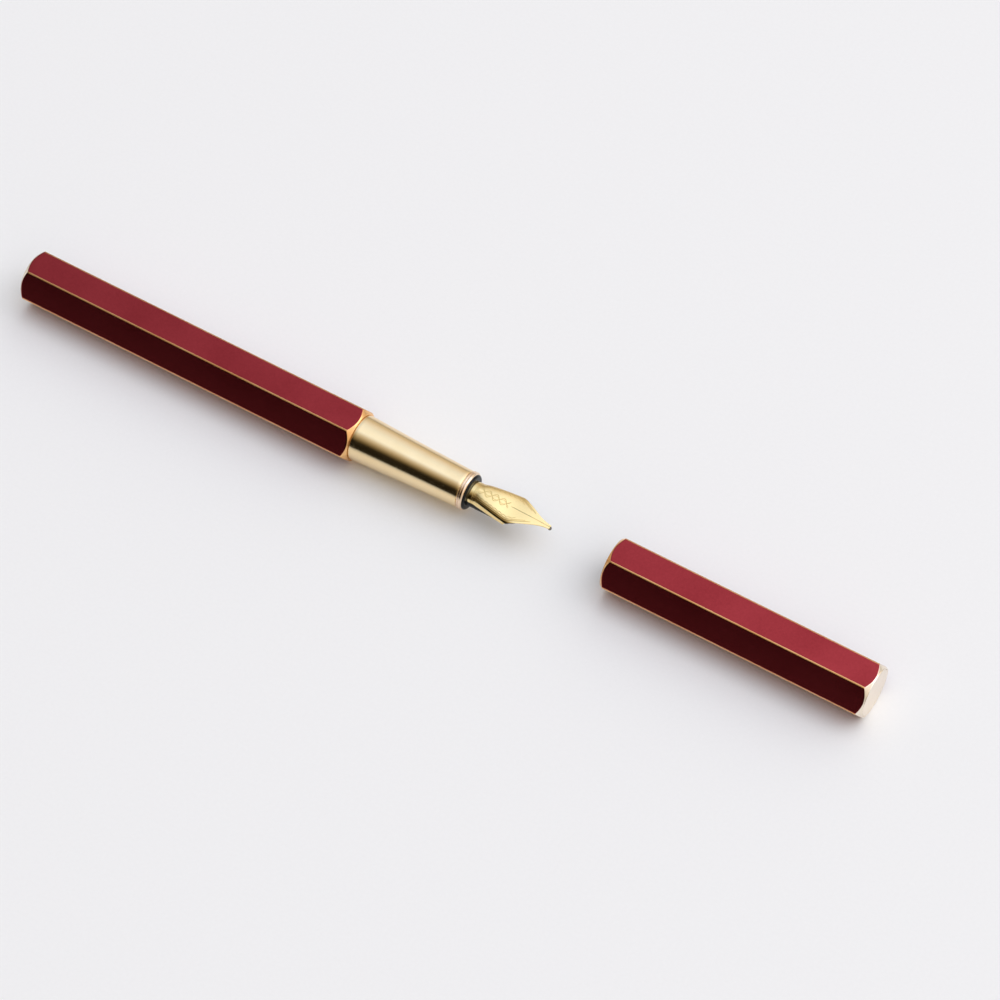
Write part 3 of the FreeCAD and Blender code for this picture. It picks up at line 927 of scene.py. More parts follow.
# Milled brass with a warm copper cast; past a set distance from the middle its end chamfers turn paler, a
# painted highlight of the bright room they mirror.
TUBE_BRASS = TurnedMetal("tube_brass", "#F6C488", "#ECB273", 0.22, Lines.LENGTHWISE, painted_end_highlight="#F4E8D6")
# Polished yellow brass of the grip: broad soft bands of light along it.
TURNED_BRASS = TurnedMetal("turned_brass", "#F9E1B4", "#F2D7A5", 0.14, Lines.ROUND)
# The front ring: polished brass, paler and pinker than the grip, its colour partly a painted reflection of
# the pale room.
RING_BRASS = TurnedMetal("ring_brass", "#F6DEC4", "#EED1B2", 0.17, Lines.ROUND)
# Faced brass discs: silky, ringed from the middle out, pale partly for their faced finish and partly as a
# painted highlight of the bright room they mirror.
FACED_BRASS = TurnedMetal("faced_brass", "#F3E8DA", "#EDE0CF", 0.32, Lines.FACED)
# Plated sleeve: cold, bright and hard.
CHROME = TurnedMetal("chrome_plate", "#D5D7DA", "#C9CBD0", 0.1, Lines.ROUND, line_depth=0.0008)
# Ground iridium alloy: a small grey bead.
TIP_ALLOY = TurnedMetal("tip_alloy", "#8C877F", "#736E67", 0.25, Lines.ROUND)
# The nib: pale gold with a mirror's contrast, darker gold painted into its cut lines as shade.
NIB_GOLD = EngravedGold()
# Black ABS: collar, feed, insert and the converter's dark parts, with a soft grey gleam.
BLACK_PLASTIC = MouldedPlastic("black_abs", "#0B0B0C", "#111112", 0.27)
# Duller black of the inner cap.
LINER_PLASTIC = MouldedPlastic("liner_plastic", "#141416", "#1C1C1E", 0.5)
# Matt black rubber of the seals.
SEAL_RUBBER = MouldedPlastic("seal_rubber", "#1B1B1C", "#232324", 0.72, 0.18, 0.006)
# Clear ink chamber.
CLEAR = ClearPlastic()
PAPER = StudioPaper()


# ---- Barrel and cap ---------------------------------------------------------------------------
@dataclass(frozen=True)
class HexShell:
    """Hexagonal brass tube with milled arrises and turned ends, and the lacquer on its six flats."""

    x_from: float
    x_to: float
    land_from: float
    land_to: float
    bore: tuple[tuple[float, float], ...]
    seed: float
    flat: float = 5.5           # axis to the lacquer's surface
    arris: float = 6.2498       # axis to the bare bevel
    rim: float = 5.351          # radius where the turned chamfer ends
    inset: float = 1.4          # how far from its ends the tube gets evenly spaced rings
    film: float = 0.015         # thickness of the lacquer
    root: float = 0.03          # how deep the lacquer's underside lies in the brass
    roll: float = 0.008         # how far the lacquer's edges drop
    bare: float = 0.04          # brass bared beside each bevel
    wobble: float = 0.02        # how far the hand rubbed long edges stray
    wobble_rate: float = 0.75   # steps in the noise from row to row
    edge_gap: float = 3.0       # in the noise, from a panel's middle to each long edge
    edge_from: float = 0.9      # columns past this share of half the width stray
    ripple: float = 0.012       # how far the end edges stray
    ripple_rate: float = 2.2    # steps in the noise for a millimetre across
    ripple_gap: float = 40.0    # in the noise, from a panel's rear edge to its front edge
    noise_level: float = 0.5    # the plane of the noise that the long edges are read in
    end_gap: float = 0.01       # between the lacquer's end and the chamfer
    columns: tuple[float, ...] = (1.0, 0.99, 0.96, 0.85, 0.68, 0.5, 0.33, 0.16, 0.0)
    end_rows: tuple[float, ...] = (0.0, 0.0006, 0.004)
    pitch: float = 0.6          # spacing of the lacquer's rows
    flat_steps: int = 8         # across half a brass flat
    rows: int = 24              # along the brass
    seed_step: float = 7.3      # from one panel's place in the noise to the next
    slant = math.radians(30)    # half the turn from flat to flat

    def flat_reach(self) -> float:
        """Half the width of a brass flat."""
        return (self.arris - (self.flat - self.film) * math.cos(self.slant)) / math.sin(self.slant)

    def turns(self) -> list[float]:
        """Angles of the tube's long edges round the axis, closer together than its form needs.

        Returns:
            The angles, once round.
        """
        depth, reach = self.flat - self.film, self.flat_reach()
        bevel = (depth - self.arris * math.cos(self.slant)) / math.sin(self.slant)
        steps = self.flat_steps
        made = []
        for side in range(6):
            normal = self.slant * (1 + 2 * side)
            made += [normal + math.atan2(reach * (k / steps - 1), depth) for k in range(2 * steps + 1)]
            made += [normal + self.slant + math.atan2(bevel * share, self.arris) for share in (-0.33, 0.33)]
        return made

    def surface(self, turn: float) -> float:
        """Radius of the brass hexagon with its bevels at an angle.

        Args:
            turn: the angle.

        Returns:
            The radius.
        """
        reach = math.inf
        for side in range(12):
            facing = math.cos(turn - self.slant * side)
            if facing > 0.5:
                reach = min(reach, (self.flat - self.film if side % 2 else self.arris) / facing)
        return reach

    def ring(self, x: float | Callable[[float], float], radius: float | Callable[[float], float]) -> Ring:
        """Ring of points whose x along the pen and radius are fixed or follow the angle."""
        return [polar(x(turn) if callable(x) else x, radius(turn) if callable(radius) else radius, turn)
                for turn in self.turns()]

    def brass(self) -> Shape:
        """The tube: hexagon outside, turned lands and chamfers at the ends, round bore.

        Returns:
            The closed shape.
        """
        low, high = self.x_from + self.land_from, self.x_to - self.land_to
        run = (high - low - 2 * self.inset) / self.rows
        rings = [self.ring(self.x_to, self.rim), self.ring(high, self.rim),
                 self.ring(lambda turn: high - (self.surface(turn) - self.rim), self.surface)]
        rings += [self.ring(high - self.inset - run * k, self.surface) for k in range(self.rows + 1)]
        rings += [self.ring(lambda turn: low + (self.surface(turn) - self.rim), self.surface),
                  self.ring(low, self.rim), self.ring(self.x_from, self.rim)]
        return skin(rings + [self.ring(x, radius) for x, radius in self.bore], True)

    def lacquer(self) -> Shape:
        """Six thin panels whose ends follow the chamfers and whose long edges stray a little.

        Returns:
            The closed panels.
        """
        whole = Shape()
        for side in range(6):
            normal = self.slant * (1 + 2 * side)
            whole.add(self.panel(math.cos(normal), math.sin(normal), self.seed + self.seed_step * side))
        return whole

    def panel(self, y_part: float, z_part: float, seed: float) -> Shape:
        """One panel of lacquer.

        Args:
            y_part: y of the flat's outward direction.
            z_part: z of it.
            seed: where in the noise its edges are read.

        Returns:
            The closed panel.
        """
        half = self.flat_reach() - self.bare
        columns = [*self.columns, *(-c for c in reversed(self.columns[:-1]))]
        count = int((self.x_to - self.x_from) / self.pitch)
        rows = [*self.end_rows, *(k / count for k in range(1, count)),
                *(1 - u for u in reversed(self.end_rows))]
        top: list[Ring] = []
        bottom: list[Ring] = []
        for i, u in enumerate(rows):
            upper, lower = [], []
            from_end = min(i, len(rows) - 1 - i)
            for c in columns:
                side = math.copysign(1.0, c)
                stray = noise.noise(Vector((u * count * self.wobble_rate, seed + side * self.edge_gap,
                                            self.noise_level)))
                s = c * half + side * self.wobble * stray * (abs(c) > self.edge_from)
                end = math.hypot(self.flat, s) - self.rim + self.end_gap
                x = (self.x_from + self.land_from + end) * (1 - u) + (self.x_to - self.land_to - end) * u
                wave = noise.noise(Vector((s * self.ripple_rate, seed, u * self.ripple_gap)))
                x += self.ripple * wave * (from_end < 2)
                high = self.flat - (self.roll if from_end == 0 or abs(c) == 1.0 else 0.0)
                for depth, kept in ((high, upper), (self.flat - self.film - self.root, lower)):
                    kept.append((x, y_part * depth - z_part * s, AXIS + z_part * depth + y_part * s))
            top.append(upper)
            bottom.append(lower)
        return slab(top, bottom)


@dataclass(frozen=True)
class Barrel:
    """Barrel: lacquered hexagonal tube, end disc and the screwed bush for the grip."""

    plug_radius: float = 5.05
    bore: float = 4.75
    counterbore: float = 5.1
    bush_outer: float = 4.73
    bush_inner: float = 4.25
    thread_pitch: float = 0.8
    thread_depth: float = 0.28

    def build(self) -> None:
        """Make and dress the barrel's pieces."""
        x_from, x_to = span("barrel_tube")
        step = span("barrel_end_plug")[1] + 0.02
        bore = ((x_from, self.counterbore), (step, self.counterbore), (step, self.bore), (x_to, self.bore))
        shell = HexShell(x_from, x_to, 0.06, 0.1, bore, seed=11.0)
        add_piece("barrel_tube_brass", shell.brass(), TUBE_BRASS,
                  Place("barrel", ("barrel_tube",), "polished_brass"), bevel=0.05)
        add_piece("barrel_lacquer", shell.lacquer(), LACQUER,
                  Place("barrel", ("barrel_tube",), "red_lacquer"), sharp=60)
        add_piece("barrel_end_disc", pipe("barrel_end_plug", 0, self.plug_radius, ease=0.07), FACED_BRASS,
                  Place("barrel", ("barrel_end_plug",), "plug_brass"))
        low, high = span("barrel_thread_bush")
        bush = pipe("barrel_thread_bush", self.bush_inner, self.bush_outer, ease=0.1,
                    fine=Fine(low, high, self.thread_pitch / 8, 0, self.bush_inner + 0.01))
        thread = ScrewThread(low, high, self.bush_inner, self.thread_pitch, -self.thread_depth)
        add_piece("barrel_screw_bush", bush, TURNED_BRASS,
                  Place("barrel", ("barrel_thread_bush",), "polished_brass"), carving=thread)


@dataclass(frozen=True)
class Cap:
    """Cap: lacquered hexagonal tube bored through, end disc and the black inner cap."""

    plug_radius: float = 5.05
    bore: float = 5.1
    bore_film: float = 0.012
    liner_outer: float = 5.08
    liner_bore: float = 4.28
    liner_floor: float = 1.0
    throat: float = 67.4        # where the inner cap narrows to grip the front ring
    throat_length: float = 2.0
    throat_bore: float = 4.13

    def build(self) -> None:
        """Make and dress the cap's pieces."""
        x_from, x_to = span("cap_tube")
        shell = HexShell(x_from, x_to, 0.1, 0.12, ((x_from, self.bore), (x_to, self.bore)), seed=83.0)
        red = Place("cap", ("cap_tube",), "red_lacquer")
        add_piece("cap_tube_brass", shell.brass(), TUBE_BRASS,
                  Place("cap", ("cap_tube",), "polished_brass"), bevel=0.05)
        add_piece("cap_lacquer", shell.lacquer(), LACQUER, red, sharp=60)
        low, high = span("cap_liner")
        inner, under = self.bore - self.bore_film, self.bore + 0.02
        sleeve = [(x_from + 0.12, inner), (low - 0.05, inner), (low - 0.05, under), (x_from + 0.12, under)]
        add_piece("cap_bore_lacquer", turned(sleeve, ease=0.008), LACQUER, red)
        add_piece("cap_end_disc", pipe("cap_end_plug", 0, self.plug_radius, ease=0.07), FACED_BRASS,
                  Place("cap", ("cap_end_plug",), "plug_brass"))
        floor, end = high - self.liner_floor, self.throat + self.throat_length
        liner = turned([
            (low, self.liner_bore + 0.3), (low, self.liner_outer), (high, self.liner_outer), (high, 0),
            (floor, 0), (floor, self.liner_bore), (end, self.liner_bore), (end - 0.2, self.throat_bore),
            (self.throat + 0.2, self.throat_bore), (self.throat, self.liner_bore),
            (low + 0.3, self.liner_bore),
        ], ease=0.1)
        add_piece("cap_inner_cap", liner, LINER_PLASTIC, Place("cap", ("cap_liner",), "liner_plastic"))


# ---- Grip section -----------------------------------------------------------------------------
@dataclass(frozen=True)
class Section:
    """Grip section: turned brass grip and front ring, screwed insert, sealing ring and nib housing."""

    sides: int = 160                # round the grip and the ring
    grip_steps: int = 32            # along the grip
    rear_radius: float = 5.0
    middle_radius: float = 4.455
    waist_radius: float = 4.05
    groove_radius: float = 3.85
    groove_width: float = 0.18
    bore: float = 3.25
    insert_seat: float = 4.02       # radius of the bore that the insert sits in
    insert_stop: float = -6.4       # where that bore ends
    ring_radius: float = 4.2
    ring_line: float = 0.33         # from the ring's rear face to its turned line
    ring_line_width: float = 0.1
    ring_line_depth: float = 0.12
    insert_radius: float = 4.2
    insert_front: float = 4.0
    insert_bore: float = 3.2
    insert_rear_bore: float = 3.6
    insert_step: float = -14.45     # where the one bore goes over into the other
    thread_pitch: float = 0.8
    thread_depth: float = 0.28
    wire_radius: float = 0.38
    wire_height: float = 4.25       # axis to the middle of the sealing ring's wire
    collar_radius: float = 3.85
    collar_round: float = 0.5
    housing_radius: float = 3.2
    housing_rear: float = -5.0
    nipple_radius: float = 1.35
    ink_bore: float = 0.6
    nib_seat: float = 2.67
    nib_stop: float = -2.25

    def grip(self) -> Shape:
        """Long shallow hollow taper with a groove behind the front ring.

        Returns:
            The closed shape.
        """
        rear, groove_end = span("section_grip")
        groove = groove_end - self.groove_width
        middle = (rear + groove) / 2
        bend = (self.waist_radius + self.rear_radius) / 2 - self.middle_radius
        slope = (self.waist_radius - self.rear_radius) / 2
        side = []
        for k in range(self.grip_steps + 1):
            x = groove + (rear - groove) * k / self.grip_steps
            t = (x - middle) / (groove - middle)
            side.append((x, self.middle_radius + slope * t + bend * t * t))
        seat, stop = self.insert_seat, self.insert_stop
        inside = [(rear, seat), (stop, seat), (stop, self.bore), (groove_end, self.bore),
                  (groove_end, self.groove_radius), (groove, self.groove_radius)]
        return turned(side + inside, sides=self.sides, ease=0.07)

    def front_ring(self) -> Shape:
        """Ring in front of the grip with one turned line and a rounded front edge.

        Returns:
            The closed shape.
        """
        low, high = span("section_front_ring")
        radius, line = self.ring_radius, low + self.ring_line
        cut, end = radius - self.ring_line_depth, line + self.ring_line_width
        return turned([
            (low, self.bore), (low, radius), (line, radius), (line, cut), (end, cut), (end, radius),
            (high - 0.3, radius), (high - 0.06, radius - 0.18), (high, radius - 0.3), (high, self.bore),
        ], sides=self.sides, ease=0.1)

    def housing(self) -> Shape:
        """Nib housing: nipple for the converter, body in the grip, and the domed collar in front.

        Returns:
            The closed shape.
        """
        rear, front = span("nib_housing")
        flange = span("section_front_ring")[1] + 0.02
        soft = self.collar_round
        dome = [(front - soft + soft * math.cos(k * math.pi / 12),
                 self.collar_radius - soft + soft * math.sin(k * math.pi / 12)) for k in range(6, -1, -1)]
        return turned([
            (rear, self.ink_bore), (rear, self.nipple_radius - 0.2), (rear + 0.4, self.nipple_radius),
            (self.housing_rear, self.nipple_radius), (self.housing_rear, self.housing_radius),
            (flange, self.housing_radius), (flange, self.collar_radius), *dome, (front, self.nib_seat),
            (self.nib_stop, self.nib_seat), (self.nib_stop, self.ink_bore),
        ], ease=0.05)

    def build_insert(self) -> None:
        """Make and dress the insert with its screw, and the sealing ring in its groove."""
        rear, front = span("section_tenon")
        rim = span("barrel_tube")[1]
        groove, radius = rim - 0.9, self.insert_radius
        insert = turned([
            (rear, self.insert_rear_bore), (rear, radius - 0.3), (rear + 0.3, radius),
            (groove - 0.4, radius), (groove - 0.4, radius - 0.35), (groove + 0.4, radius - 0.35),
            (groove + 0.4, radius), (rim, radius), (rim, self.insert_front), (front, self.insert_front),
            (front, self.insert_bore), (self.insert_step, self.insert_bore),
            (self.insert_step, self.insert_rear_bore),
        ], ease=0.08, fine=Fine(rear + 0.3, groove - 0.5, self.thread_pitch / 8, radius - 0.1, radius + 0.1))
        thread = ScrewThread(rear + 0.3, groove - 0.9, radius, self.thread_pitch, self.thread_depth)
        add_piece("section_screw_insert", insert, BLACK_PLASTIC,
                  Place("section", ("section_tenon",), "black_plastic"), carving=thread)
        wire = [(groove + self.wire_radius * math.cos(k * math.pi / 8),
                 self.wire_height + self.wire_radius * math.sin(k * math.pi / 8)) for k in range(16)]
        add_piece("section_sealing_ring", turned(wire, sides=96, ease=0), SEAL_RUBBER,
                  Place("section", ("section_o_ring",), "seal_rubber"))

    def build(self) -> None:
        """Make and dress the section's pieces."""
        add_piece("section_grip_brass", self.grip(), TURNED_BRASS,
                  Place("section", ("section_grip",), "polished_brass"))
        add_piece("section_front_ring_brass", self.front_ring(), RING_BRASS,
                  Place("section", ("section_front_ring",), "polished_brass"))
        self.build_insert()
        add_piece("section_nib_housing", self.housing(), BLACK_PLASTIC,
                  Place("section", ("nib_housing",), "black_plastic"))


# ---- Nib and feed -----------------------------------------------------------------------------
@dataclass(frozen=True)
class NibUnit:
    """Nib rolled from gold plated sheet, its hard tip, and the black finned feed under it."""

    sheet: float = 0.3
    root_radius: float = 2.65
    root_end: float = 9.85
    shoulder: float = 17.6
    tip: float = 26.4
    shoulder_half: float = 3.76
    shoulder_height: float = 2.1
    point_half: float = 0.42
    point_height: float = 1.6
    edge_height: float = 0.4
    slit_length: float = 9.1
    slit_width: float = 0.08
    slit_run: float = 0.5       # over which the slit opens to its width
    columns: int = 36           # steps across half the nib
    rear_rows: int = 60         # from the collar to the slit
    front_rows: int = 84        # along the slit
    pellet_radius: float = 0.42
    pellet_height: float = 1.069
    pellet_back: float = 0.1    # from the nib's tip back to the ball's middle
    pellet_rings: int = 12
    pellet_sides: int = 24
    collar: float = 8.25        # face that the nib comes out of
    feed_radius: float = 2.33
    feed_sides: int = 96
    feed_tops: tuple[float, ...] = (2.1, 1.5, 1.25)     # at the root's end, the shoulder and the front
    feed_gap: float = 0.03      # kept under the nib's edges
    fin_radius: float = 2.75
    first_slot: float = 9.05
    slots: int = 8
    slot_pitch: float = 0.7
    slot_gap: float = 0.32
    slot_core: float = 1.9
    comb_height: float = -0.35  # the slots stay below this
    taper: float = 14.65        # from where the feed narrows to its beak
    beak_from: float = 5.3      # from the collar to where the underside sweeps up
    beak_height: float = 1.05   # that the underside comes to, over the axis
    beak_curve: float = 1.55    # 1 is a straight sweep
    nose: float = 0.12
    nose_inset: float = 0.06
    tail_nose: float = 0.08
    tail_inset: float = 0.05

    def roll(self, x: float) -> tuple[float, float, float]:
        """Shape of the rolled sheet at a place along the nib.

        Args:
            x: the place.

        Returns:
            Half its width, its crown's height over its edges, and how flat its crown is (2 for an ellipse).
        """
        flare, point = (self.root_end + self.shoulder) / 2, (self.shoulder + self.tip) / 2
        root = math.sqrt(self.root_radius ** 2 - self.edge_height ** 2)
        end = self.tip + 0.5
        half = [(self.root_end, root), (flare, (root + self.shoulder_half) / 2 + 0.06),
                (self.shoulder, self.shoulder_half), (point, self.shoulder_half + 0.4),
                (end, self.shoulder_half + 0.4)]
        crown = [(self.root_end, self.root_radius), (flare, self.root_radius - 0.2),
                 (self.shoulder, self.shoulder_height), (point, self.shoulder_height - 0.2),
                 (end, self.point_height - 0.05)]
        flatness = [(self.root_end, 1.84), (self.root_end + 1.8, 2.5), (self.shoulder, 2.8), (end, 2.8)]
        return (smooth_through(half, x), smooth_through(crown, x) - self.edge_height,
                smooth_through(flatness, x))

    def half_width(self, x: float) -> float:
        """Half the nib's width: the flare behind the shoulder, the long hollow point before it.

        Args:
            x: place along the nib.

        Returns:
            Distance from the middle to the edge.
        """
        flare = self.roll(x)[0]
        if x <= self.shoulder:
            return flare
        wide, run = self.shoulder_half, self.tip - self.shoulder
        hollow = ((0.92, 0.95 * wide), (0.76, 0.79 * wide), (0.53, 0.535 * wide), (0.34, 0.32 * wide),
                  (0.16, self.point_half + 0.22), (0.0, self.point_half))
        outline = [(self.shoulder, wide)] + [(self.tip - share * run, half) for share, half in hollow]
        return min(flare, smooth_through(outline, x))

    def nib(self) -> Shape:
        """Both halves of the rolled sheet, one skin behind the slit and two prongs before it.

        Returns:
            The closed shape, with the places along, across and in from the rim that the engraving reads.
        """
        tail, slit_from = span("nib")[0], self.tip - self.slit_length
        seen, rear, front = self.collar - 0.05, self.rear_rows, self.front_rows
        stations = [tail, tail + 2.5, tail + 5, self.collar - 0.45]
        stations += [seen + (slit_from - seen) * k / rear for k in range(rear + 1)]
        stations += [slit_from + (self.tip - slit_from) * k / front for k in range(1, front + 1)]
        whole = Shape()
        for side in (1, -1):
            top, bottom = [], []
            values = {"along": [], "across": [], "rim": []}
            for x in stations:
                half, rise, power = self.roll(x)
                reach = min(self.half_width(x) / half, 0.9999)
                edge = math.atan2(reach, (1 - reach ** power) ** (1 / power))
                open_share = min(max((x - slit_from) / self.slit_run, 0.0), 1.0)
                inner = self.slit_width / 2 * open_share / half
                upper, lower, run = [], [], [0.0]
                for k in range(self.columns + 1):
                    angle = inner + (edge - inner) * k / self.columns
                    sine, cosine = math.sin(angle), math.cos(angle)
                    size = (sine ** power + cosine ** power) ** (-1 / power)
                    for inset, kept in ((0.0, upper), (self.sheet, lower)):
                        kept.append((x, side * sine * size * (half - inset * sine),
                                     AXIS + self.edge_height + cosine * size * (rise - inset)))
                    if k:
                        run.append(run[-1] + math.dist(upper[-1], upper[-2]))
                rows = {"along": [self.tip - x] * len(run), "across": [side * way for way in run],
                        "rim": [abs(upper[-1][1]) - abs(point[1]) for point in upper]}
                for name, row in rows.items():
                    values[name] += row[::side]
                top.append(upper[::side])
                bottom.append(lower[::side])
            half_shape = slab(top, bottom)
            half_shape.values = {name: numbers * 2 for name, numbers in values.items()}
            seam = {k for k, (x, y, _) in enumerate(half_shape.points)
                    if abs(y) < TINY and x <= slit_from + TINY}
            half_shape.faces = [face for face in half_shape.faces if not set(face) <= seam]
            whole.add(half_shape)
        return whole

    def pellet(self) -> Shape:
        """Hard tip: two halves of a small ball, apart by the slit.

        Returns:
            The two closed halves.
        """
        whole = Shape()
        radius, apart = self.pellet_radius, self.slit_width / 2
        for side in (1, -1):
            rings = []
            for i in range(self.pellet_rings + 1):
                polar_angle = math.pi * i / self.pellet_rings
                x = self.tip - self.pellet_back + radius * math.cos(polar_angle)
                out = radius * math.sin(polar_angle)
                ring = []
                for k in range(self.pellet_sides):
                    turn = 2 * math.pi * k / self.pellet_sides
                    ring.append((x, max(out * math.cos(turn), apart) * side,
                                 AXIS + self.pellet_height + out * math.sin(turn) * side))
                pole = [(x, side * apart, AXIS + self.pellet_height)]
                rings.append(ring if 0 < i < self.pellet_rings else pole)
            whole.add(skin(rings, False))
        return whole

    def feed(self) -> Shape:
        """Feed: round under the nib, flat on top past the root, swept up to a beak in front.

        Returns:
            The closed shape.
        """
        tail, end = span("feed")
        stations = [tail, tail + self.tail_nose, 2.0, 6.0]
        stations += [self.collar + step for step in (-0.05, 0.09, 0.11, 0.45)]
        for k in range(self.slots):
            slot = self.first_slot + k * self.slot_pitch
            for edge in (slot, slot + self.slot_gap):
                stations += [edge - 0.06, edge - 0.004, edge + 0.004, edge + 0.06]
        beak = self.taper + 0.05
        stations += [beak + (end - 0.1 - beak) * k / 24 for k in range(25)] + [end - 0.03, end]
        rings = [self.feed_ring(x, tail, end) for x in sorted(stations, reverse=True)]
        middles = [tuple(sum(values) / len(ring) for values in zip(*ring)) for ring in (rings[0], rings[-1])]
        return skin([middles[:1], *rings, middles[1:]], False)

    def feed_ring(self, x: float, tail: float, end: float) -> Ring:
        """Outline of the feed at x, seen from the front.

        Args:
            x: where the feed is cut.
            tail: the feed's rear end.
            end: the feed's front end.

        Returns:
            Points of the outline.
        """
        inner, ledge, sweep = self.feed_radius, self.edge_height - self.feed_gap, self.collar + self.beak_from
        outer = self.fin_radius if x > self.collar + 0.1 else self.root_radius - 0.02
        top, low, wide, centre = inner, -outer, outer, 0.0
        if x > self.root_end:
            top = smooth_through(list(zip((self.root_end, self.shoulder, end), self.feed_tops)), x)
        if x > self.taper:
            wide = smooth_through([(self.taper, outer), (end - 1.2, 1.2), (end, 0.7)], x)
        if x > sweep:
            low = -outer + (self.beak_height + outer) * ((x - sweep) / (end - sweep)) ** self.beak_curve
            centre = (top + low) / 2
        shrink = (max(0.0, (x - end + self.nose) / self.nose) * self.nose_inset
                  + max(0.0, (tail + self.tail_nose - x) / self.tail_nose) * self.tail_inset)
        ring = []
        for k in range(self.feed_sides):
            turn = 2 * math.pi * k / self.feed_sides
            dy, dz = math.cos(turn), math.sin(turn)
            part = centre * dz
            near, far = (math.sqrt(max(part * part - centre * centre + radius * radius, 0.0)) - part
                         for radius in (inner, outer))
            if centre + far * dz > ledge:
                step = (ledge - centre) / dz if dz > TINY else 0.0
                far = max(near, min(step, far))
            reach = [far]
            if abs(dy) > TINY:
                reach.append(wide / abs(dy))
            if abs(dz) > TINY:
                reach.append((top - centre) / dz if dz > 0 else (low - centre) / dz)
            r = min(reach) - shrink
            ring.append((x, r * dy, AXIS + centre + r * dz))
        return ring

    def build(self) -> None:
        """Make and dress the nib, its tip and the feed."""
        add_piece("nib_gold", self.nib(), NIB_GOLD, Place("section", ("nib",), "gold_plate"), bevel=0.03)
        add_piece("nib_hard_tip", self.pellet(), TIP_ALLOY, Place("section", ("nib_tip",), "tip_alloy"))
        comb = Comb(self.first_slot, self.slot_pitch, self.slot_gap, self.slots, self.slot_core,
                    self.comb_height)
        add_piece("nib_feed", self.feed(), BLACK_PLASTIC, Place("section", ("feed",), "black_plastic"),
                  carving=comb)


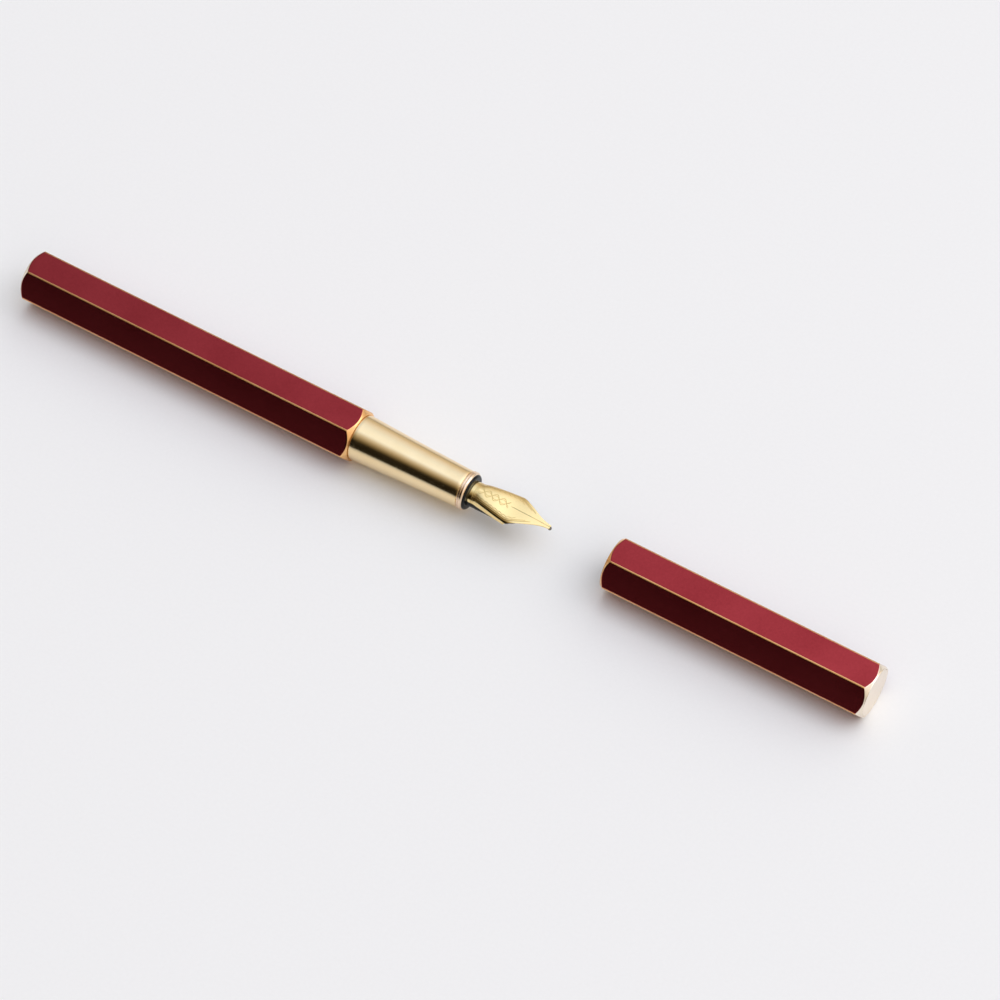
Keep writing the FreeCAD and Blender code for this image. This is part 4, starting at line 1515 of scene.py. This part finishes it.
# ---- Converter --------------------------------------------------------------------------------
@dataclass(frozen=True)
class Converter:
    """Screw piston converter: clear chamber, chromed sleeve, guide nut, piston, screwed rod and knob."""

    sides: int = 96
    tube_radius: float = 3.5
    chamber_radius: float = 2.9
    neck_length: float = 9.8
    neck_radius: float = 3.1
    mouth_radius: float = 1.4
    sleeve_inner: float = 3.52
    sleeve_outer: float = 3.75
    bead_width: float = 0.9
    bead_depth: float = 0.08
    nut_bore: float = 1.25
    lip_radius: float = 2.87
    waist_radius: float = 2.42
    rod_radius: float = 1.2
    rod_flat: float = 0.96
    rod_pitch: float = 1.2
    rod_thread: float = 0.22
    knob_radius: float = 3.3
    spigot_radius: float = 3.45
    spigot_length: float = 3.6
    flutes: int = 12
    flute_radius: float = 0.45
    flute_depth: float = 0.25

    def chamber(self) -> Shape:
        """Clear tube with its neck, which goes on the nipple.

        Returns:
            The closed shape.
        """
        rear, front = span("converter_tube")
        shoulder = front - self.neck_length
        return turned([
            (rear, self.chamber_radius), (rear, self.tube_radius), (shoulder - 0.3, self.tube_radius),
            (shoulder, self.neck_radius), (front - 0.3, self.neck_radius), (front, self.neck_radius - 0.3),
            (front, self.mouth_radius), (shoulder - 0.5, self.mouth_radius),
            (shoulder - 0.9, self.chamber_radius),
        ], sides=self.sides, ease=0.1)

    def sleeve(self) -> Shape:
        """Plated sleeve with a bead at its rear end.

        Returns:
            The closed shape.
        """
        rear, front = span("converter_sleeve")
        bead, outer = rear + self.bead_width, self.sleeve_outer
        return turned([
            (rear, self.sleeve_inner), (front, self.sleeve_inner), (front, outer), (bead + 0.5, outer),
            (bead + 0.35, outer - self.bead_depth), (bead + 0.15, outer - self.bead_depth), (bead, outer),
            (rear, outer),
        ], sides=self.sides, ease=0.06)

    def seal(self) -> Shape:
        """Piston with a lip at each end.

        Returns:
            The closed shape.
        """
        rear, front = span("piston_seal")
        lip, waist = self.lip_radius, self.waist_radius
        return turned([(rear, 0), (rear, lip), (rear + 0.5, lip), (rear + 1.3, waist), (front - 1.3, waist),
                       (front - 0.5, lip), (front, lip), (front, 0)], sides=self.sides, ease=0.15)

    def build(self) -> None:
        """Make and dress the converter's pieces."""
        add_piece("converter_chamber", self.chamber(), CLEAR,
                  Place("converter", ("converter_tube",), "clear_plastic"))
        add_piece("converter_chrome_sleeve", self.sleeve(), CHROME,
                  Place("converter", ("converter_sleeve",), "sleeve_chrome"))
        nut = pipe("converter_nut", self.nut_bore, self.tube_radius, sides=self.sides, ease=0.1)
        add_piece("converter_guide_nut", nut, BLACK_PLASTIC,
                  Place("converter", ("converter_nut",), "black_plastic"))
        add_piece("piston_rubber_seal", self.seal(), SEAL_RUBBER,
                  Place("piston", ("piston_seal",), "seal_rubber"))
        self.build_rod()
        self.build_knob()

    def build_rod(self) -> None:
        """Make the piston's screwed rod and take its two flats off."""
        rear, front = span("piston_rod")
        radius = self.rod_radius
        rod = turned([(rear, 0), (rear, radius), (front, radius), (front, 0)], sides=48, ease=0.1,
                     fine=Fine(rear, front, self.rod_pitch / 8, radius - 0.01, radius + 0.01))
        thread = ScrewThread(rear, front - 1.0, radius, self.rod_pitch, self.rod_thread)
        piece = add_piece("piston_screw_rod", rod, BLACK_PLASTIC,
                          Place("piston", ("piston_rod",), "black_plastic"), carving=thread)
        limit = self.rod_flat * MM
        for vertex in piece.data.vertices:
            vertex.co.z = AXIS * MM + min(max(vertex.co.z - AXIS * MM, -limit), limit)

    def build_knob(self) -> None:
        """Make the twist knob, hollow for the rod, and cut its flutes."""
        rear, front = span("converter_knob")
        radius, shoulder, floor = self.knob_radius, front - self.spigot_length, rear + 2.0
        knob = turned([
            (rear, 0), (rear, radius - 0.5), (rear + 0.5, radius), (shoulder, radius),
            (shoulder, self.spigot_radius), (front, self.spigot_radius), (front, self.nut_bore),
            (floor, self.nut_bore), (floor, 0),
        ], sides=240, ease=0.15, fine=Fine(rear + 0.6, shoulder - 0.4, 0.35, radius - 0.05, radius + 0.05))
        flutes = Flutes(rear + 1.2, shoulder - 1.0, radius, self.flutes, self.flute_radius, self.flute_depth)
        add_piece("converter_twist_knob", knob, BLACK_PLASTIC,
                  Place("knob", ("converter_knob",), "black_plastic"), carving=flutes)


# ---- Studio -----------------------------------------------------------------------------------
@dataclass(frozen=True)
class Studio:
    """White paper, a room bright overhead with one dark spot in front, a side softbox and the camera.

    Places are metres, the lamp's power is watts.
    """

    floor_half: float = 4.0
    camera_place: Point = (0.23121, -0.33984, 0.61029)
    camera_aim: Point = (0.011856, 0.004452, 0.0)
    camera_roll: float = -1.511
    lens: float = 130.08
    softbox_place: Point = (1.15, 0.80, 1.15)
    softbox_side: float = 1.2
    softbox_power: float = 5.0
    horizon: float = 0.5
    zenith: float = 1.43
    dark_way: Point = (-0.3, -0.921, 0.247)
    dark_from: float = 0.40     # how near a direction comes to it where the dark begins
    dark_full: float = 0.955    # and where it is full
    dark_share: float = 0.02
    dim_way: float = -0.6       # the room is dimmest round this x, between its two windows
    dim_width: float = 0.55
    dim_share: float = 0.35
    right_share: float = 1.3

    def set_world(self) -> None:
        """Light of the room: bright overhead, grey at the sides, nearly black low in front of the pen."""
        world = bpy.data.worlds.new("studio_room")
        world.use_nodes = True
        tree = world.node_tree
        tree.nodes.clear()
        way = add_node(tree, "TexCoord").outputs["Generated"]
        parts = add_node(tree, "SeparateXYZ", way)
        strength = add_node(tree, "MapRange", parts.outputs[2], {3: self.horizon, 4: self.zenith})
        near = add_node(tree, "VectorMath DOT_PRODUCT", way, self.dark_way)
        front = add_node(tree, "MapRange", near.outputs["Value"], self.dark_from, self.dark_full, 1.0,
                         self.dark_share)
        left = add_node(tree, "Math SUBTRACT", parts, self.dim_way)
        apart = add_node(tree, "Math ABSOLUTE", left)
        side = add_node(tree, "MapRange", apart, {2: self.dim_width, 3: self.dim_share,
                                                  4: self.right_share})
        for share in (front, side):
            strength = add_node(tree, "Math MULTIPLY", strength, share)
        sky = between(tree, parts.outputs[2], 0.3, 0.8, "#FFF2E2", "#E8F0FF")
        warmth = add_node(tree, "MapRange", front, 0.1, 0.9)
        colour = add_node(tree, "Mix", warmth, {6: linear("#FFE3AE"), 7: sky}, data_type="RGBA")
        glow = add_node(tree, "Background", colour.outputs[2], strength)
        add_node(tree, "OutputWorld", glow)
        bpy.context.scene.world = world

    def lay_floor(self) -> None:
        """Sheet of white paper that the pen lies on."""
        half = self.floor_half
        mesh = bpy.data.meshes.new("paper_floor")
        mesh.from_pydata([(-half, -half, 0), (half, -half, 0), (half, half, 0), (-half, half, 0)], [],
                         [(0, 1, 2, 3)])
        floor = bpy.data.objects.new("paper_floor", mesh)
        bpy.context.scene.collection.objects.link(floor)
        mesh.materials.append(PAPER.material())

    def hang_softbox(self) -> None:
        """Square lamp with a cloth front, turned towards the pen."""
        light = bpy.data.lights.new("side_softbox", "AREA")
        light.shape = "RECTANGLE"
        light.size = light.size_y = self.softbox_side
        light.energy = self.softbox_power
        lamp = bpy.data.objects.new("side_softbox", light)
        bpy.context.scene.collection.objects.link(lamp)
        lamp.location = self.softbox_place
        lamp.rotation_euler = (-Vector(self.softbox_place)).to_track_quat("-Z", "Y").to_euler()

    def set_camera(self) -> None:
        """Camera over the pen's right front, turned a little about its own line of sight."""
        data = bpy.data.cameras.new("camera")
        data.sensor_width = 36.0
        data.lens = self.lens
        data.clip_start, data.clip_end = 0.01, 50.0
        camera = bpy.data.objects.new("camera", data)
        bpy.context.scene.collection.objects.link(camera)
        forward = (Vector(self.camera_aim) - Vector(self.camera_place)).normalized()
        level = forward.cross(Vector((0, 0, 1))).normalized()
        rise = level.cross(forward)
        roll = math.radians(self.camera_roll)
        right = level * math.cos(roll) + rise * math.sin(roll)
        up = rise * math.cos(roll) - level * math.sin(roll)
        columns = (*right, 0), (*up, 0), (*-forward, 0), (*self.camera_place, 1)
        camera.matrix_world = Matrix(columns).transposed()
        bpy.context.scene.camera = camera

    def build(self) -> None:
        """Set the scene round the pen."""
        bpy.context.scene.view_settings.view_transform = "Standard"
        self.set_world()
        self.lay_floor()
        self.hang_softbox()
        self.set_camera()


def main() -> None:
    """Build the pen's sub-assemblies and the studio."""
    logging.basicConfig(level=logging.INFO, format="%(name)s: %(message)s")
    for part in (Barrel(), Section(), NibUnit(), Converter(), Cap()):
        LOG.info("building %s", type(part).__name__)
        part.build()
    Studio().build()


if __name__ == "__main__":
    main()
